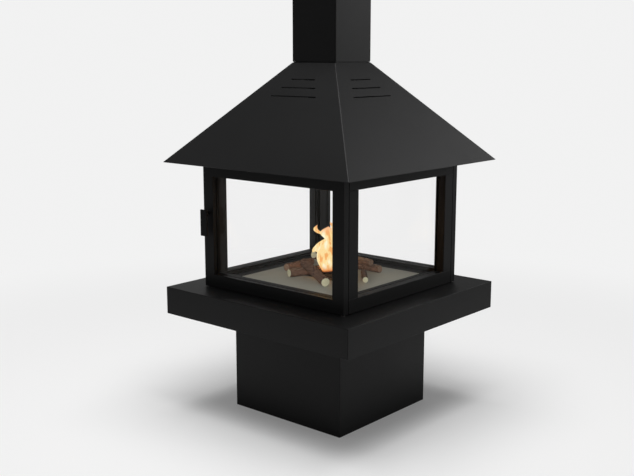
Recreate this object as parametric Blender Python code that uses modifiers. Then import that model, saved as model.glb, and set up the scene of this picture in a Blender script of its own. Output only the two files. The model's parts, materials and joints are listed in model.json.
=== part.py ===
"""Wood burning stove with four glazed sides, a pyramid hood and a square flue cover.

Metres, +Z up. The origin is on the floor, under the centre of the pedestal. The front door is at -Y,
the fixed windows are at +X and -X, and the rear door is at +Y.
"""
import math

import bmesh
import bpy
from mathutils import Matrix, Vector

# ---------------------------------------------------------------- driving dimensions
GAP = 0.0003               # left between pieces that touch
PAST = 0.010               # how far a cutter runs on past the piece it cuts

PEDESTAL_SIZE = 0.587
PEDESTAL_HEIGHT = 0.420
PEDESTAL_SHEET = 0.004
FLOOR_PLATE = 0.006

SLAB_SIZE = 1.000
SLAB_HEIGHT = 0.117
SLAB_SHEET = 0.004
SLAB_CORE_SIZE = 0.600     # the square frame that carries the firebox inside the slab

FIREBOX_WIDTH = 0.764      # across the fixed windows, along X
BODY_DEPTH = 0.700         # between the doors, along Y
DOOR_THICKNESS = 0.030
DOOR_GAP = 0.002           # between a door and the body behind it
DOOR_LIFT = 0.0025         # between a door and the slab under it
DOOR_HEIGHT = 0.530
RAIL = 0.056               # visible width of stiles, posts and rails
FRAME_WALL = 0.006
FRAME_WEB = 0.016
POST_WALL = 0.004

GLASS = 0.004
GLASS_LAP = 0.014          # how far a door's glass rebate reaches past its opening
GLASS_CLEARANCE = 0.001
SIDE_LAP = 0.012           # the same in the fixed windows
SIDE_LAP_Z = 0.010         # and in the rails above and below them
SIDE_GLASS_INSET = 0.036   # from the outer face to the side glass
RETAINER = 0.007
ROPE_RADIUS = 0.0037
ROPE_GROOVE = 0.008
ROPE_GROOVE_DEPTH = 0.006
ROPE_LAND = 0.0025         # steel left between the glass rebate and the rope groove

HINGE_INSET = 0.010        # from a door's edge and from its outer face
PIN_RADIUS = 0.004
PIN_CLEARANCE = 0.0003
PIN_DEPTH = 0.025
HINGE_RELIEF = 0.003       # chamfer that lets the hinge edge turn past the body
BRACKET = 0.004

BLADE_HEIGHT = 0.112
BLADE_WIDTH = 0.038
BLADE_THICKNESS = 0.008
BLADE_STANDOFF = 0.022
BLADE_RISE = 0.2225        # from the door's bottom edge to the blade
SPINDLE_INSET = 0.018      # from the door's edge
SPINDLE_RADIUS = 0.004
SPINDLE_BELOW_TOP = 0.022  # from the blade's top to the spindle
BOSS_RADIUS = 0.009
CAM_HALF_LENGTH = 0.0095
CAM_HALF_WIDTH = 0.0060
CAM_THICKNESS = 0.005
LATCH_SLOT = 0.023
LATCH_SLOT_HEIGHT = 0.026

HEARTH_LEDGE_X = 0.052     # ledge left inside the fixed windows
HEARTH_LEDGE_Y = 0.020     # and inside the doors' posts
HEARTH_RISE = 0.040        # from the slab's top to the hearth's top
SILL_LIP = 0.022           # width of the raised lip behind each door
SILL_LEDGE = 0.008         # thickness of the ledge inside the lip
ASH_FLANGE = 0.003
GRATE_SIZE = 0.160
GRATE_THICKNESS = 0.012
GRATE_SEAT = 0.012         # ledge under each edge of the grate
GRATE_SLOTS = 6
GRATE_SLOT = 0.009
PAN_CLEARANCE = 0.003      # lets the pan lift out through the grate's hole
ASH_BOX_MARGIN = 0.035     # air space around the pan
ASH_PAN_HEIGHT = 0.070
ASH_PAN_FOOT = 0.012
SHEET = 0.003              # inner sheet-metal parts
PAN_SHEET = 0.002

DUCT_RADIUS = 0.050
DUCT_WALL = 0.002
THROAT_SIZE = 0.130
THROAT_WALL = 0.012
SLIDE_CHEEK = 0.007        # throat wall beside the slide
SLIDE_SHEET = 0.003
SLIDE_BELOW_SLAB = 0.0495
SLIDE_TRAVEL = 0.085
SLIDE_HOLE_RADIUS = 0.040
ROD_RADIUS = 0.005
KNOB_RADIUS = 0.013
KNOB_LENGTH = 0.034
KNOB_CLEARANCE = 0.004

THROAT_INSET = 0.026       # the top frame's web reaches this far in from the window openings
BAFFLE_LAP = 0.006
SMOKE_GAP = 0.068          # left open in front of and behind the baffle
BAFFLE_THICKNESS = 0.025
DOME_INSET = 0.031         # the dome's foot stands this far in from the frame's outer face
DOME_HEIGHT = 0.300
DOME_MARGIN = 0.005        # around the flue pipe
DOME_SHEET = 0.003

HOOD_SIZE = 1.003
HOOD_CLEARANCE = 0.001     # from the frame's top up to the hood's foot
HOOD_RISE = 0.410
HOOD_SHEET = 0.003
SLOT_HEIGHT = 0.0055
SLOT_LENGTHS = (0.126, 0.182, 0.240)
SLOT_FALLS = (0.091, 0.1355, 0.181)   # down the slope from the hood's top edge
SIDE_SLOT_SHIFT = -0.031              # the slots over the fixed windows sit nearer the front

COVER_AIR = 0.016          # between the flue pipe and the cover's outer face
COVER_SHEET = 0.002
COVER_RADIUS = 0.006
COVER_HEIGHT = 0.460
COLLAR_FLANGE = 0.004
COLLAR_RECESS = 0.0015
COLLAR_TUBE_INSET = 0.0045 # from the cover's outer face to the collar's tube
COLLAR_DROP = 0.040
LID_DROP = 0.005
FLUE_RADIUS = 0.100
FLUE_WALL = 0.002
FLUE_ABOVE_COVER = 0.030
SPIGOT_HEIGHT = 0.052
ARM_WIDTH = 0.040
ARM_THICKNESS = 0.005

# ---------------------------------------------------------------- sizes and levels that follow
COVER_SIZE = 2 * (FLUE_RADIUS + COVER_AIR)
COLLAR_TUBE = COVER_SIZE - 2 * COLLAR_TUBE_INSET
DOME_TOP = 2 * (FLUE_RADIUS + DOME_MARGIN)
SLIDE_WIDTH = THROAT_SIZE - 2 * SLIDE_CHEEK
ASH_PAN_SIZE = GRATE_SIZE - 2 * (GRATE_SEAT + PAN_CLEARANCE)
ASH_BOX_SIZE = ASH_PAN_SIZE + 2 * ASH_BOX_MARGIN
ROPE_INSET = RAIL - GLASS_LAP - ROPE_LAND - ROPE_GROOVE / 2
SLAB_TOP = PEDESTAL_HEIGHT + SLAB_HEIGHT
SLIDE_LEVEL = PEDESTAL_HEIGHT - SLIDE_BELOW_SLAB
HEARTH_TOP = SLAB_TOP + HEARTH_RISE
DOOR_BOTTOM = SLAB_TOP + DOOR_LIFT
DOOR_TOP = DOOR_BOTTOM + DOOR_HEIGHT - 0.0005   # a hair under the frame's top
FRAME_TOP = DOOR_BOTTOM + DOOR_HEIGHT
SILL = DOOR_BOTTOM + RAIL
HEAD = FRAME_TOP - RAIL
HALF_X = FIREBOX_WIDTH / 2
HALF_Y = BODY_DEPTH / 2
OPEN_X = HALF_X - RAIL
OPEN_Y = HALF_Y - RAIL
HEARTH_X = OPEN_X - HEARTH_LEDGE_X
HEARTH_Y = OPEN_Y - HEARTH_LEDGE_Y
THROAT_X = OPEN_X - THROAT_INSET
THROAT_Y = OPEN_Y - THROAT_INSET
DOOR_BACK = HALF_Y + DOOR_GAP
DOOR_FACE = DOOR_BACK + DOOR_THICKNESS
HINGE_X = HALF_X - HINGE_INSET
HINGE_Y = DOOR_FACE - HINGE_INSET
SPINDLE_X = -(HALF_X - SPINDLE_INSET)
BLADE_BOTTOM = DOOR_BOTTOM + BLADE_RISE
SPINDLE_Z = BLADE_BOTTOM + BLADE_HEIGHT - SPINDLE_BELOW_TOP
HOOD_FOOT = FRAME_TOP + HOOD_CLEARANCE
HOOD_TOP = HOOD_FOOT + HOOD_RISE
COVER_FOOT = HOOD_TOP + GAP + COLLAR_FLANGE + GAP
COVER_TOP = COVER_FOOT + COVER_HEIGHT
HOOD_RUN = (HOOD_SIZE - COVER_SIZE) / 2
HOOD_SLOPE = math.atan2(HOOD_RISE, HOOD_RUN)
ARM_LEVEL = FRAME_TOP + GAP
DOME_FOOT = HEAD + FRAME_WEB + GAP
UNDERPLATE_LEVEL = PEDESTAL_HEIGHT + GAP

# ---------------------------------------------------------------- scene and helpers
for old in list(bpy.data.objects):
    bpy.data.objects.remove(old, do_unlink=True)

PARTS = bpy.data.collections.new("wood_stove")
CUTTERS = bpy.data.collections.new("cutters")
bpy.context.scene.collection.children.link(PARTS)
bpy.context.scene.collection.children.link(CUTTERS)


def material(name, colour, roughness, metallic=0.0):
    """A Principled BSDF with one colour, roughness and metallic value."""
    made = bpy.data.materials.new(name)
    made.use_nodes = True
    shader = made.node_tree.nodes["Principled BSDF"]
    shader.inputs["Base Color"].default_value = (*colour, 1.0)
    shader.inputs["Roughness"].default_value = roughness
    shader.inputs["Metallic"].default_value = metallic
    return made


BLACK_STEEL = material("black_steel", (0.020, 0.020, 0.020), 0.55)
RAW_STEEL = material("raw_steel", (0.30, 0.30, 0.29), 0.40, 1.0)
CAST_IRON = material("cast_iron", (0.05, 0.05, 0.05), 0.60, 0.5)
CLEAR_GLASS = material("clear_glass", (0.85, 0.88, 0.86), 0.05)
FIRECLAY = material("fireclay", (0.42, 0.41, 0.36), 0.90)
VERMICULITE = material("vermiculite", (0.55, 0.48, 0.36), 0.95)
ROPE_FIBRE = material("rope_fibre", (0.25, 0.24, 0.22), 0.95)
LOG_BARK = material("log_bark", (0.18, 0.11, 0.07), 0.90)


def finish_object(mesh, name, look, collection=PARTS):
    """Put a mesh in the scene as one named object with one material."""
    made = bpy.data.objects.new(name, mesh)
    collection.objects.link(made)
    if look:
        mesh.materials.append(look)
    return made


def as_cutter(made):
    """Keep a solid as a tool only: it is drawn as wire and left out of the model."""
    made.hide_render = True
    made.display_type = "WIRE"
    return made


def box(name, low, high, look=None, upright_radius=0.0):
    """A box between two corners. Its four upright edges may be rounded."""
    low = Vector(low)
    high = Vector(high)
    middle = (low + high) / 2
    size = high - low
    shape = bmesh.new()
    bmesh.ops.create_cube(shape, size=1.0, matrix=Matrix.Diagonal((*size, 1.0)))
    if upright_radius:
        upright = [e for e in shape.edges if abs(e.verts[0].co.z - e.verts[1].co.z) > size.z / 2]
        bmesh.ops.bevel(shape, geom=upright, offset=upright_radius, segments=3, profile=0.5,
                        affect="EDGES")
    mesh = bpy.data.meshes.new(name)
    shape.to_mesh(mesh)
    shape.free()
    made = finish_object(mesh, name, look, PARTS if look else CUTTERS)
    made.location = middle
    return made if look else as_cutter(made)


def round_bar(name, start, end, radius, look=None, segments=24):
    """A cylinder between two points."""
    start = Vector(start)
    end = Vector(end)
    shape = bmesh.new()
    bmesh.ops.create_cone(shape, cap_ends=True, segments=segments, radius1=radius, radius2=radius,
                          depth=(end - start).length)
    mesh = bpy.data.meshes.new(name)
    shape.to_mesh(mesh)
    shape.free()
    if segments > 6:
        mesh.shade_smooth()
        mesh.set_sharp_from_angle(angle=math.radians(40))
    made = finish_object(mesh, name, look, PARTS if look else CUTTERS)
    made.location = (start + end) / 2
    made.rotation_mode = "QUATERNION"
    made.rotation_quaternion = (end - start).to_track_quat("Z", "Y")
    return made if look else as_cutter(made)


def pyramid(name, foot_x, foot_y, top_x, top_y, foot, top, look=None):
    """A solid rectangular frustum: a four-sided cone turned by 45 degrees, its ends scaled."""
    shape = bmesh.new()
    corner = math.sqrt(0.5)
    bmesh.ops.create_cone(shape, cap_ends=True, segments=4, radius1=corner, radius2=corner, depth=1.0,
                          matrix=Matrix.Rotation(math.radians(45), 4, "Z"))
    for vert in shape.verts:
        size_x, size_y, level = (foot_x, foot_y, foot) if vert.co.z < 0 else (top_x, top_y, top)
        vert.co = Vector((math.copysign(size_x / 2, vert.co.x), math.copysign(size_y / 2, vert.co.y),
                          level))
    mesh = bpy.data.meshes.new(name)
    shape.to_mesh(mesh)
    shape.free()
    made = finish_object(mesh, name, look, PARTS if look else CUTTERS)
    return made if look else as_cutter(made)


def extruded(name, outlines, low, high, look=None):
    """Flat outlines in XY (the first is the edge, the others are holes), drawn up from low to high."""
    curve = bpy.data.curves.new(name, "CURVE")
    curve.dimensions = "2D"
    curve.fill_mode = "BOTH"
    curve.extrude = (high - low) / 2
    for outline in outlines:
        spline = curve.splines.new("POLY")
        spline.points.add(len(outline) - 1)
        for point, (x, y) in zip(spline.points, outline):
            point.co = (x, y, 0.0, 1.0)
        spline.use_cyclic_u = True
    drawn = bpy.data.objects.new(name + "_outline", curve)
    bpy.context.scene.collection.objects.link(drawn)
    bpy.context.view_layer.update()
    graph = bpy.context.evaluated_depsgraph_get()
    mesh = bpy.data.meshes.new_from_object(drawn.evaluated_get(graph))
    bpy.data.objects.remove(drawn, do_unlink=True)
    shape = bmesh.new()
    shape.from_mesh(mesh)
    bmesh.ops.remove_doubles(shape, verts=shape.verts, dist=1e-5)
    bmesh.ops.recalc_face_normals(shape, faces=shape.faces)
    shape.to_mesh(mesh)
    shape.free()
    made = finish_object(mesh, name, look, PARTS if look else CUTTERS)
    made.location = (0.0, 0.0, (low + high) / 2)
    return made if look else as_cutter(made)


def boolean(target, tool, operation):
    """Cut a tool out of a target, or join it on."""
    step = target.modifiers.new(operation.lower() + "_" + tool.name, "BOOLEAN")
    step.operation = operation
    step.solver = "EXACT"
    step.object = tool
    if operation == "UNION":
        PARTS.objects.unlink(tool)
        CUTTERS.objects.link(tool)
        as_cutter(tool)
    return target


def cut(target, *tools):
    """Cut each tool out of the target."""
    for tool in tools:
        boolean(target, tool, "DIFFERENCE")
    return target


def soften(target, width=0.0008):
    """Break the sharp edges of a piece that hands and light meet."""
    step = target.modifiers.new("soft_edges", "BEVEL")
    step.width = width
    step.segments = 1
    step.limit_method = "ANGLE"
    step.angle_limit = math.radians(50)
    return target


def ring(name, outer_x, outer_y, inner_x, inner_y, low, high, look=None, radius=0.0, inner_radius=0.0):
    """A rectangular ring lying flat: full outer and inner sizes, from low to high."""
    made = box(name, (-outer_x / 2, -outer_y / 2, low), (outer_x / 2, outer_y / 2, high), look, radius)
    past = 0.01
    cut(made, box(name + "_bore", (-inner_x / 2, -inner_y / 2, low - past),
                  (inner_x / 2, inner_y / 2, high + past), None, inner_radius))
    return made


def upright_ring(name, outer_x, outer_z, inner_x, inner_z, y_low, y_high, look=None):
    """A rectangular ring standing across Y. outer_z and inner_z are (low, high) pairs."""
    made = box(name, (-outer_x, y_low, outer_z[0]), (outer_x, y_high, outer_z[1]), look)
    past = 0.05
    cut(made, box(name + "_opening", (-inner_x, y_low - past, inner_z[0]),
                  (inner_x, y_high + past, inner_z[1])))
    return made


def moved_into(parent, *pieces):
    """Parent pieces to an empty on their joint's axis, and leave them where they are."""
    bpy.context.view_layer.update()
    for piece in pieces:
        piece.parent = parent
        piece.matrix_parent_inverse = parent.matrix_world.inverted()


def axis_empty(name, place):
    """An empty on a joint's axis."""
    made = bpy.data.objects.new(name, None)
    made.location = place
    made.empty_display_size = 0.05
    bpy.context.scene.collection.objects.link(made)
    return made


# ---------------------------------------------------------------- pedestal and combustion air
def pedestal():
    """Floor plate and folded column."""
    inner = PEDESTAL_SIZE / 2 - PEDESTAL_SHEET - GAP
    plate = box("floor_plate", (-inner, -inner, 0.0), (inner, inner, FLOOR_PLATE), BLACK_STEEL)
    cut(plate, round_bar("duct_hole", (0, 0, -0.01), (0, 0, FLOOR_PLATE + PAST),
                         DUCT_RADIUS + GAP, segments=32))
    width = PEDESTAL_SIZE
    bore = width - 2 * PEDESTAL_SHEET
    shell = ring("pedestal_shell", width, width, bore, bore, 0.0, PEDESTAL_HEIGHT, BLACK_STEEL,
                 0.003)
    rod_level = SLIDE_LEVEL + SLIDE_SHEET / 2
    cut(shell, round_bar("rod_hole", (0, -width / 2 - 0.02, rod_level),
                         (0, -width / 2 + 0.02, rod_level), ROD_RADIUS + 0.001))


def air_supply():
    """Duct from the floor, the throat that guides the slide, and the slide with its rod and knob."""
    throat_foot = SLIDE_LEVEL - 0.0065
    duct = round_bar("air_duct", (0, 0, 0.001), (0, 0, throat_foot - GAP), DUCT_RADIUS, CAST_IRON, 32)
    cut(duct, round_bar("duct_bore", (0, 0, -0.01), (0, 0, throat_foot + PAST),
                        DUCT_RADIUS - DUCT_WALL, segments=32))
    half = THROAT_SIZE / 2
    throat_top = UNDERPLATE_LEVEL - GAP
    throat = box("air_throat", (-half, -half, throat_foot), (half, half, throat_top), CAST_IRON)
    inner = half - THROAT_WALL
    slide_top = SLIDE_LEVEL + SLIDE_SHEET
    slot_half = SLIDE_WIDTH / 2 + GAP
    cut(throat,
        box("throat_bore", (-inner, -inner, throat_foot - PAST), (inner, inner, throat_top + PAST)),
        box("slide_slot", (-slot_half, -half - PAST, SLIDE_LEVEL - GAP),
            (slot_half, half + PAST, slide_top + GAP)))
    # Pushed in, the hole lies behind the throat and the solid front part closes it. Pulled out by its
    # full travel, the hole is over the duct.
    slide_half = SLIDE_WIDTH / 2
    slide = box("air_slide", (-slide_half, -half, SLIDE_LEVEL),
                (slide_half, half + SLIDE_TRAVEL, slide_top), RAW_STEEL)
    cut(slide, round_bar("slide_hole", (0, SLIDE_TRAVEL, SLIDE_LEVEL - PAST),
                         (0, SLIDE_TRAVEL, slide_top + PAST), SLIDE_HOLE_RADIUS, segments=32))
    level = SLIDE_LEVEL + SLIDE_SHEET / 2
    face = -PEDESTAL_SIZE / 2
    knob_back = face - KNOB_CLEARANCE
    rod = round_bar("air_rod", (0, -half - GAP, level), (0, knob_back - KNOB_LENGTH * 0.6, level),
                    ROD_RADIUS, RAW_STEEL, 16)
    knob = turned("air_knob", [(KNOB_RADIUS * 0.55, 0.0), (KNOB_RADIUS * 0.55, 0.006),
                               (KNOB_RADIUS, 0.012), (KNOB_RADIUS, KNOB_LENGTH - 0.003),
                               (KNOB_RADIUS - 0.003, KNOB_LENGTH)], BLACK_STEEL)
    knob.rotation_euler = (math.radians(90), 0, 0)
    knob.location = (0, knob_back, level)
    cut(knob, round_bar("knob_bore", (0, knob_back + PAST, level),
                        (0, knob_back - KNOB_LENGTH * 0.62, level), ROD_RADIUS + GAP, segments=16))
    moved_into(axis_empty("air_axis", (0, 0, level)), slide, rod, knob)


def turned(name, profile, look, segments=24):
    """A solid of revolution about Z. The profile is (radius, height) from the bottom to the top."""
    curve = [(0.0, profile[0][1])] + list(profile) + [(0.0, profile[-1][1])]
    mesh = bpy.data.meshes.new(name)
    points = [(radius, 0.0, height) for radius, height in reversed(curve)]
    mesh.from_pydata(points, [(i, i + 1) for i in range(len(points) - 1)], [])
    made = finish_object(mesh, name, look)
    screw = made.modifiers.new("turn", "SCREW")
    screw.steps = segments
    screw.render_steps = segments
    screw.use_merge_vertices = True
    screw.merge_threshold = 0.0001
    screw.use_smooth_shade = True
    return made


# ---------------------------------------------------------------- slab and ash space
def slab():
    """Underplate, inner core and the deep square cover of the hearth slab."""
    inner = SLAB_SIZE / 2 - SLAB_SHEET - GAP
    under_top = UNDERPLATE_LEVEL + SLAB_SHEET
    plate = box("slab_underplate", (-inner, -inner, UNDERPLATE_LEVEL), (inner, inner, under_top),
                BLACK_STEEL)
    cut(plate, round_bar("air_hole", (0, 0, UNDERPLATE_LEVEL - PAST), (0, 0, under_top + PAST),
                         DUCT_RADIUS, segments=32))
    core_top = SLAB_TOP - SLAB_SHEET - GAP
    core_bore = SLAB_CORE_SIZE - 2 * SLAB_SHEET
    ring("slab_core", SLAB_CORE_SIZE, SLAB_CORE_SIZE, core_bore, core_bore, under_top + GAP, core_top,
         RAW_STEEL)
    half = SLAB_SIZE / 2
    cover = box("slab_shell", (-half, -half, PEDESTAL_HEIGHT), (half, half, SLAB_TOP), BLACK_STEEL, 0.003)
    hollow = half - SLAB_SHEET
    ash_hole = ASH_BOX_SIZE / 2 + 0.002
    cut(cover,
        box("slab_hollow", (-hollow, -hollow, PEDESTAL_HEIGHT - PAST),
            (hollow, hollow, SLAB_TOP - SLAB_SHEET)),
        box("slab_ash_hole", (-ash_hole, -ash_hole, SLAB_TOP - 0.05), (ash_hole, ash_hole, SLAB_TOP + PAST)),
        *[round_bar("slab_pin_hole", (HINGE_X, side * HINGE_Y, SLAB_TOP - 0.02),
                    (HINGE_X, side * HINGE_Y, SLAB_TOP + 0.02), PIN_RADIUS + PIN_CLEARANCE)
          for side in (-1, 1)])


def ash_space():
    """Box under the fire, its lift-out pan, the grate and the fireclay hearth."""
    flange_low = SLAB_TOP + GAP
    flange_high = flange_low + ASH_FLANGE
    flange_x = HEARTH_X - 0.001
    flange_y = HEARTH_Y - 0.001
    half = ASH_BOX_SIZE / 2
    foot = UNDERPLATE_LEVEL + SLAB_SHEET + GAP
    body = box("ash_box", (-flange_x, -flange_y, flange_low), (flange_x, flange_y, flange_high),
               CAST_IRON)
    well = box("ash_well", (-half, -half, foot), (half, half, flange_high - 0.0005), CAST_IRON)
    boolean(body, well, "UNION")
    hollow = half - SHEET
    cut(body,
        box("ash_hollow", (-hollow, -hollow, foot + SHEET), (hollow, hollow, flange_high + PAST)),
        round_bar("ash_air_hole", (0, 0, foot - PAST), (0, 0, foot + 0.02), DUCT_RADIUS - 0.002,
                  segments=32))
    pan_half = ASH_PAN_SIZE / 2
    pan_foot = foot + SHEET + GAP
    pan = box("ash_pan", (-pan_half, -pan_half, pan_foot), (pan_half, pan_half, pan_foot + ASH_PAN_HEIGHT),
              RAW_STEEL)
    pan_inner = pan_half - PAN_SHEET
    tray = pan_foot + ASH_PAN_FOOT
    cut(pan,
        box("pan_hollow", (-pan_inner, -pan_inner, tray + PAN_SHEET),
            (pan_inner, pan_inner, pan_foot + ASH_PAN_HEIGHT + PAST)),
        box("pan_airway", (-pan_inner, -pan_half - PAST, pan_foot - PAST), (pan_inner, pan_half + PAST, tray)))

    hearth = box("hearth_plate", (-HEARTH_X, -HEARTH_Y, flange_high + GAP), (HEARTH_X, HEARTH_Y, HEARTH_TOP),
                 FIRECLAY)
    grate_half = GRATE_SIZE / 2
    hole = grate_half - GRATE_SEAT
    seat = grate_half + 0.001
    grate_low = HEARTH_TOP - GRATE_THICKNESS
    cut(hearth,
        box("grate_hole", (-hole, -hole, SLAB_TOP), (hole, hole, HEARTH_TOP + PAST)),
        box("grate_rebate", (-seat, -seat, grate_low - GAP), (seat, seat, HEARTH_TOP + PAST)))
    grate = box("grate", (-grate_half, -grate_half, grate_low), (grate_half, grate_half, HEARTH_TOP),
                CAST_IRON)
    pitch = 2 * hole / GRATE_SLOTS
    for index in range(GRATE_SLOTS):
        x = -hole + pitch * (index + 0.5)
        cut(grate, box("grate_slot", (x - GRATE_SLOT / 2, -hole + 0.004, grate_low - PAST),
                       (x + GRATE_SLOT / 2, hole - 0.004, HEARTH_TOP + PAST)))


# ---------------------------------------------------------------- firebox frame
def base_frame():
    """Cast frame under the posts: outer skirt, sill, the lip behind each door, a ledge and a foot."""
    frame = box("base_frame", (-HALF_X, -HALF_Y, SLAB_TOP + GAP), (HALF_X, HALF_Y, SILL), CAST_IRON)
    inner_x = HEARTH_X + GAP
    inner_y = HEARTH_Y + GAP
    wall_x = inner_x + FRAME_WALL
    wall_y = inner_y + FRAME_WALL
    skirt_x = HALF_X - FRAME_WALL
    skirt_y = HALF_Y - FRAME_WALL
    lip_y = HALF_Y - SILL_LIP
    below = SLAB_TOP - 3 * PAST
    foot = box("base_foot", (-wall_x, -wall_y, below), (wall_x, wall_y, SILL))
    hollow = box("base_hollow", (-skirt_x, -skirt_y, below + PAST), (skirt_x, skirt_y, HEARTH_TOP - SILL_LEDGE))
    cut(hollow, foot)
    lift = box("base_shadow_gap", (-HALF_X - PAST, -HALF_Y - PAST, below + PAST),
               (HALF_X + PAST, HALF_Y + PAST, DOOR_BOTTOM))
    cut(lift, foot)
    cut(frame, hollow, lift,
        box("sill_ledge", (-OPEN_X, -lip_y, HEARTH_TOP), (OPEN_X, lip_y, SILL + PAST)),
        box("hearth_opening", (-inner_x, -inner_y, below), (inner_x, inner_y, SILL + PAST)))
    cut(frame, *side_rebates("sill", SILL - SIDE_LAP_Z, SILL + PAST))


def side_rebates(name, low, high):
    """Cutters for the grooves that hold the lower or upper edge of the side glasses."""
    outer = HALF_X - SIDE_GLASS_INSET
    reach = OPEN_Y + SIDE_LAP
    tools = []
    for side in (-1, 1):
        xs = sorted((side * OPEN_X, side * outer))
        tools.append(box(name + "_rebate", (xs[0], -reach, low), (xs[1], reach, high)))
    return tools


def posts():
    """Four hollow corner posts with a glass rebate. The two at -X have a slot for the latch cam."""
    low = SILL + GAP
    high = HEAD - GAP
    rebate_x = HALF_X - SIDE_GLASS_INSET
    rebate_y = OPEN_Y + SIDE_LAP
    outer = [(OPEN_X, HALF_Y), (OPEN_X, rebate_y), (rebate_x, rebate_y), (rebate_x, OPEN_Y),
             (HALF_X, OPEN_Y), (HALF_X, HALF_Y)]
    wall = POST_WALL
    bore = [(OPEN_X + wall, HALF_Y - wall), (OPEN_X + wall, rebate_y + wall),
            (rebate_x + wall, rebate_y + wall), (rebate_x + wall, OPEN_Y + wall),
            (HALF_X - wall, OPEN_Y + wall), (HALF_X - wall, HALF_Y - wall)]
    for end, side_y in (("front", -1), ("rear", 1)):
        for side, side_x in (("right", 1), ("left", -1)):
            flip = [[(side_x * x, side_y * y) for x, y in line] for line in (outer, bore)]
            post = extruded("post_%s_%s" % (end, side), flip, low, high, BLACK_STEEL)
            if side == "left":
                ys = sorted((side_y * (HALF_Y - 2 * wall), side_y * (HALF_Y + PAST)))
                cut(post, box("latch_slot", (SPINDLE_X - LATCH_SLOT / 2, ys[0], SPINDLE_Z - LATCH_SLOT_HEIGHT / 2),
                              (SPINDLE_X + LATCH_SLOT / 2, ys[1], SPINDLE_Z + LATCH_SLOT_HEIGHT / 2)))


def top_frame():
    """Angle-section frame over the posts: an upright skirt and a web around the throat."""
    frame = box("top_frame", (-HALF_X, -HALF_Y, HEAD), (HALF_X, HALF_Y, FRAME_TOP), CAST_IRON)
    skirt_x = HALF_X - FRAME_WALL
    skirt_y = HALF_Y - FRAME_WALL
    cut(frame,
        box("top_hollow", (-skirt_x, -skirt_y, HEAD + FRAME_WEB), (skirt_x, skirt_y, FRAME_TOP + PAST)),
        box("throat", (-THROAT_X, -THROAT_Y, HEAD - PAST), (THROAT_X, THROAT_Y, FRAME_TOP + PAST)))
    cut(frame, *side_rebates("head", HEAD - PAST, HEAD + SIDE_LAP_Z))


def side_windows():
    """A glass and an inner retaining frame in each fixed window."""
    for name, side in (("right", 1), ("left", -1)):
        outer = HALF_X - SIDE_GLASS_INSET - GAP
        inner = outer - GLASS
        reach_y = OPEN_Y + SIDE_LAP - GLASS_CLEARANCE
        low = SILL - SIDE_LAP_Z + GLASS_CLEARANCE
        high = HEAD + SIDE_LAP_Z - GLASS_CLEARANCE
        xs = sorted((side * inner, side * outer))
        box("side_glass_" + name, (xs[0], -reach_y, low), (xs[1], reach_y, high), CLEAR_GLASS)
        back = inner - GAP
        xs = sorted((side * (back - RETAINER), side * back))
        holder = box("side_retainer_" + name, (xs[0], -reach_y, low), (xs[1], reach_y, high), BLACK_STEEL)
        cut(holder, box("side_retainer_opening", (xs[0] - PAST, -OPEN_Y, SILL),
                        (xs[1] + PAST, OPEN_Y, HEAD)))


# ---------------------------------------------------------------- doors
def rope_loop(name, half_x, low, high, y, look):
    """A closed rope that follows a rectangle. Its corners turn about as tightly as rope can."""
    corner = ROPE_RADIUS + GAP
    steps = 4
    curve = bpy.data.curves.new(name, "CURVE")
    curve.dimensions = "3D"
    curve.bevel_depth = ROPE_RADIUS
    curve.bevel_resolution = 1
    middle_z = (low + high) / 2
    half_z = (high - low) / 2
    points = []
    for quarter, (sign_x, sign_z) in enumerate(((1, 1), (-1, 1), (-1, -1), (1, -1))):
        for step in range(steps + 1):
            angle = math.radians(90) * (quarter + step / steps)
            points.append((sign_x * (half_x - corner) + corner * math.cos(angle),
                           sign_z * (half_z - corner) + corner * math.sin(angle)))
    spline = curve.splines.new("POLY")
    spline.points.add(len(points) - 1)
    for point, (x, z) in zip(spline.points, points):
        point.co = (x, 0.0, z, 1.0)
    spline.use_cyclic_u = True
    curve.materials.append(look)
    made = bpy.data.objects.new(name, curve)
    made.location = (0.0, y, middle_z)
    PARTS.objects.link(made)
    return made


def between(a, b):
    """Two numbers in rising order."""
    return (a, b) if a < b else (b, a)


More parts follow.
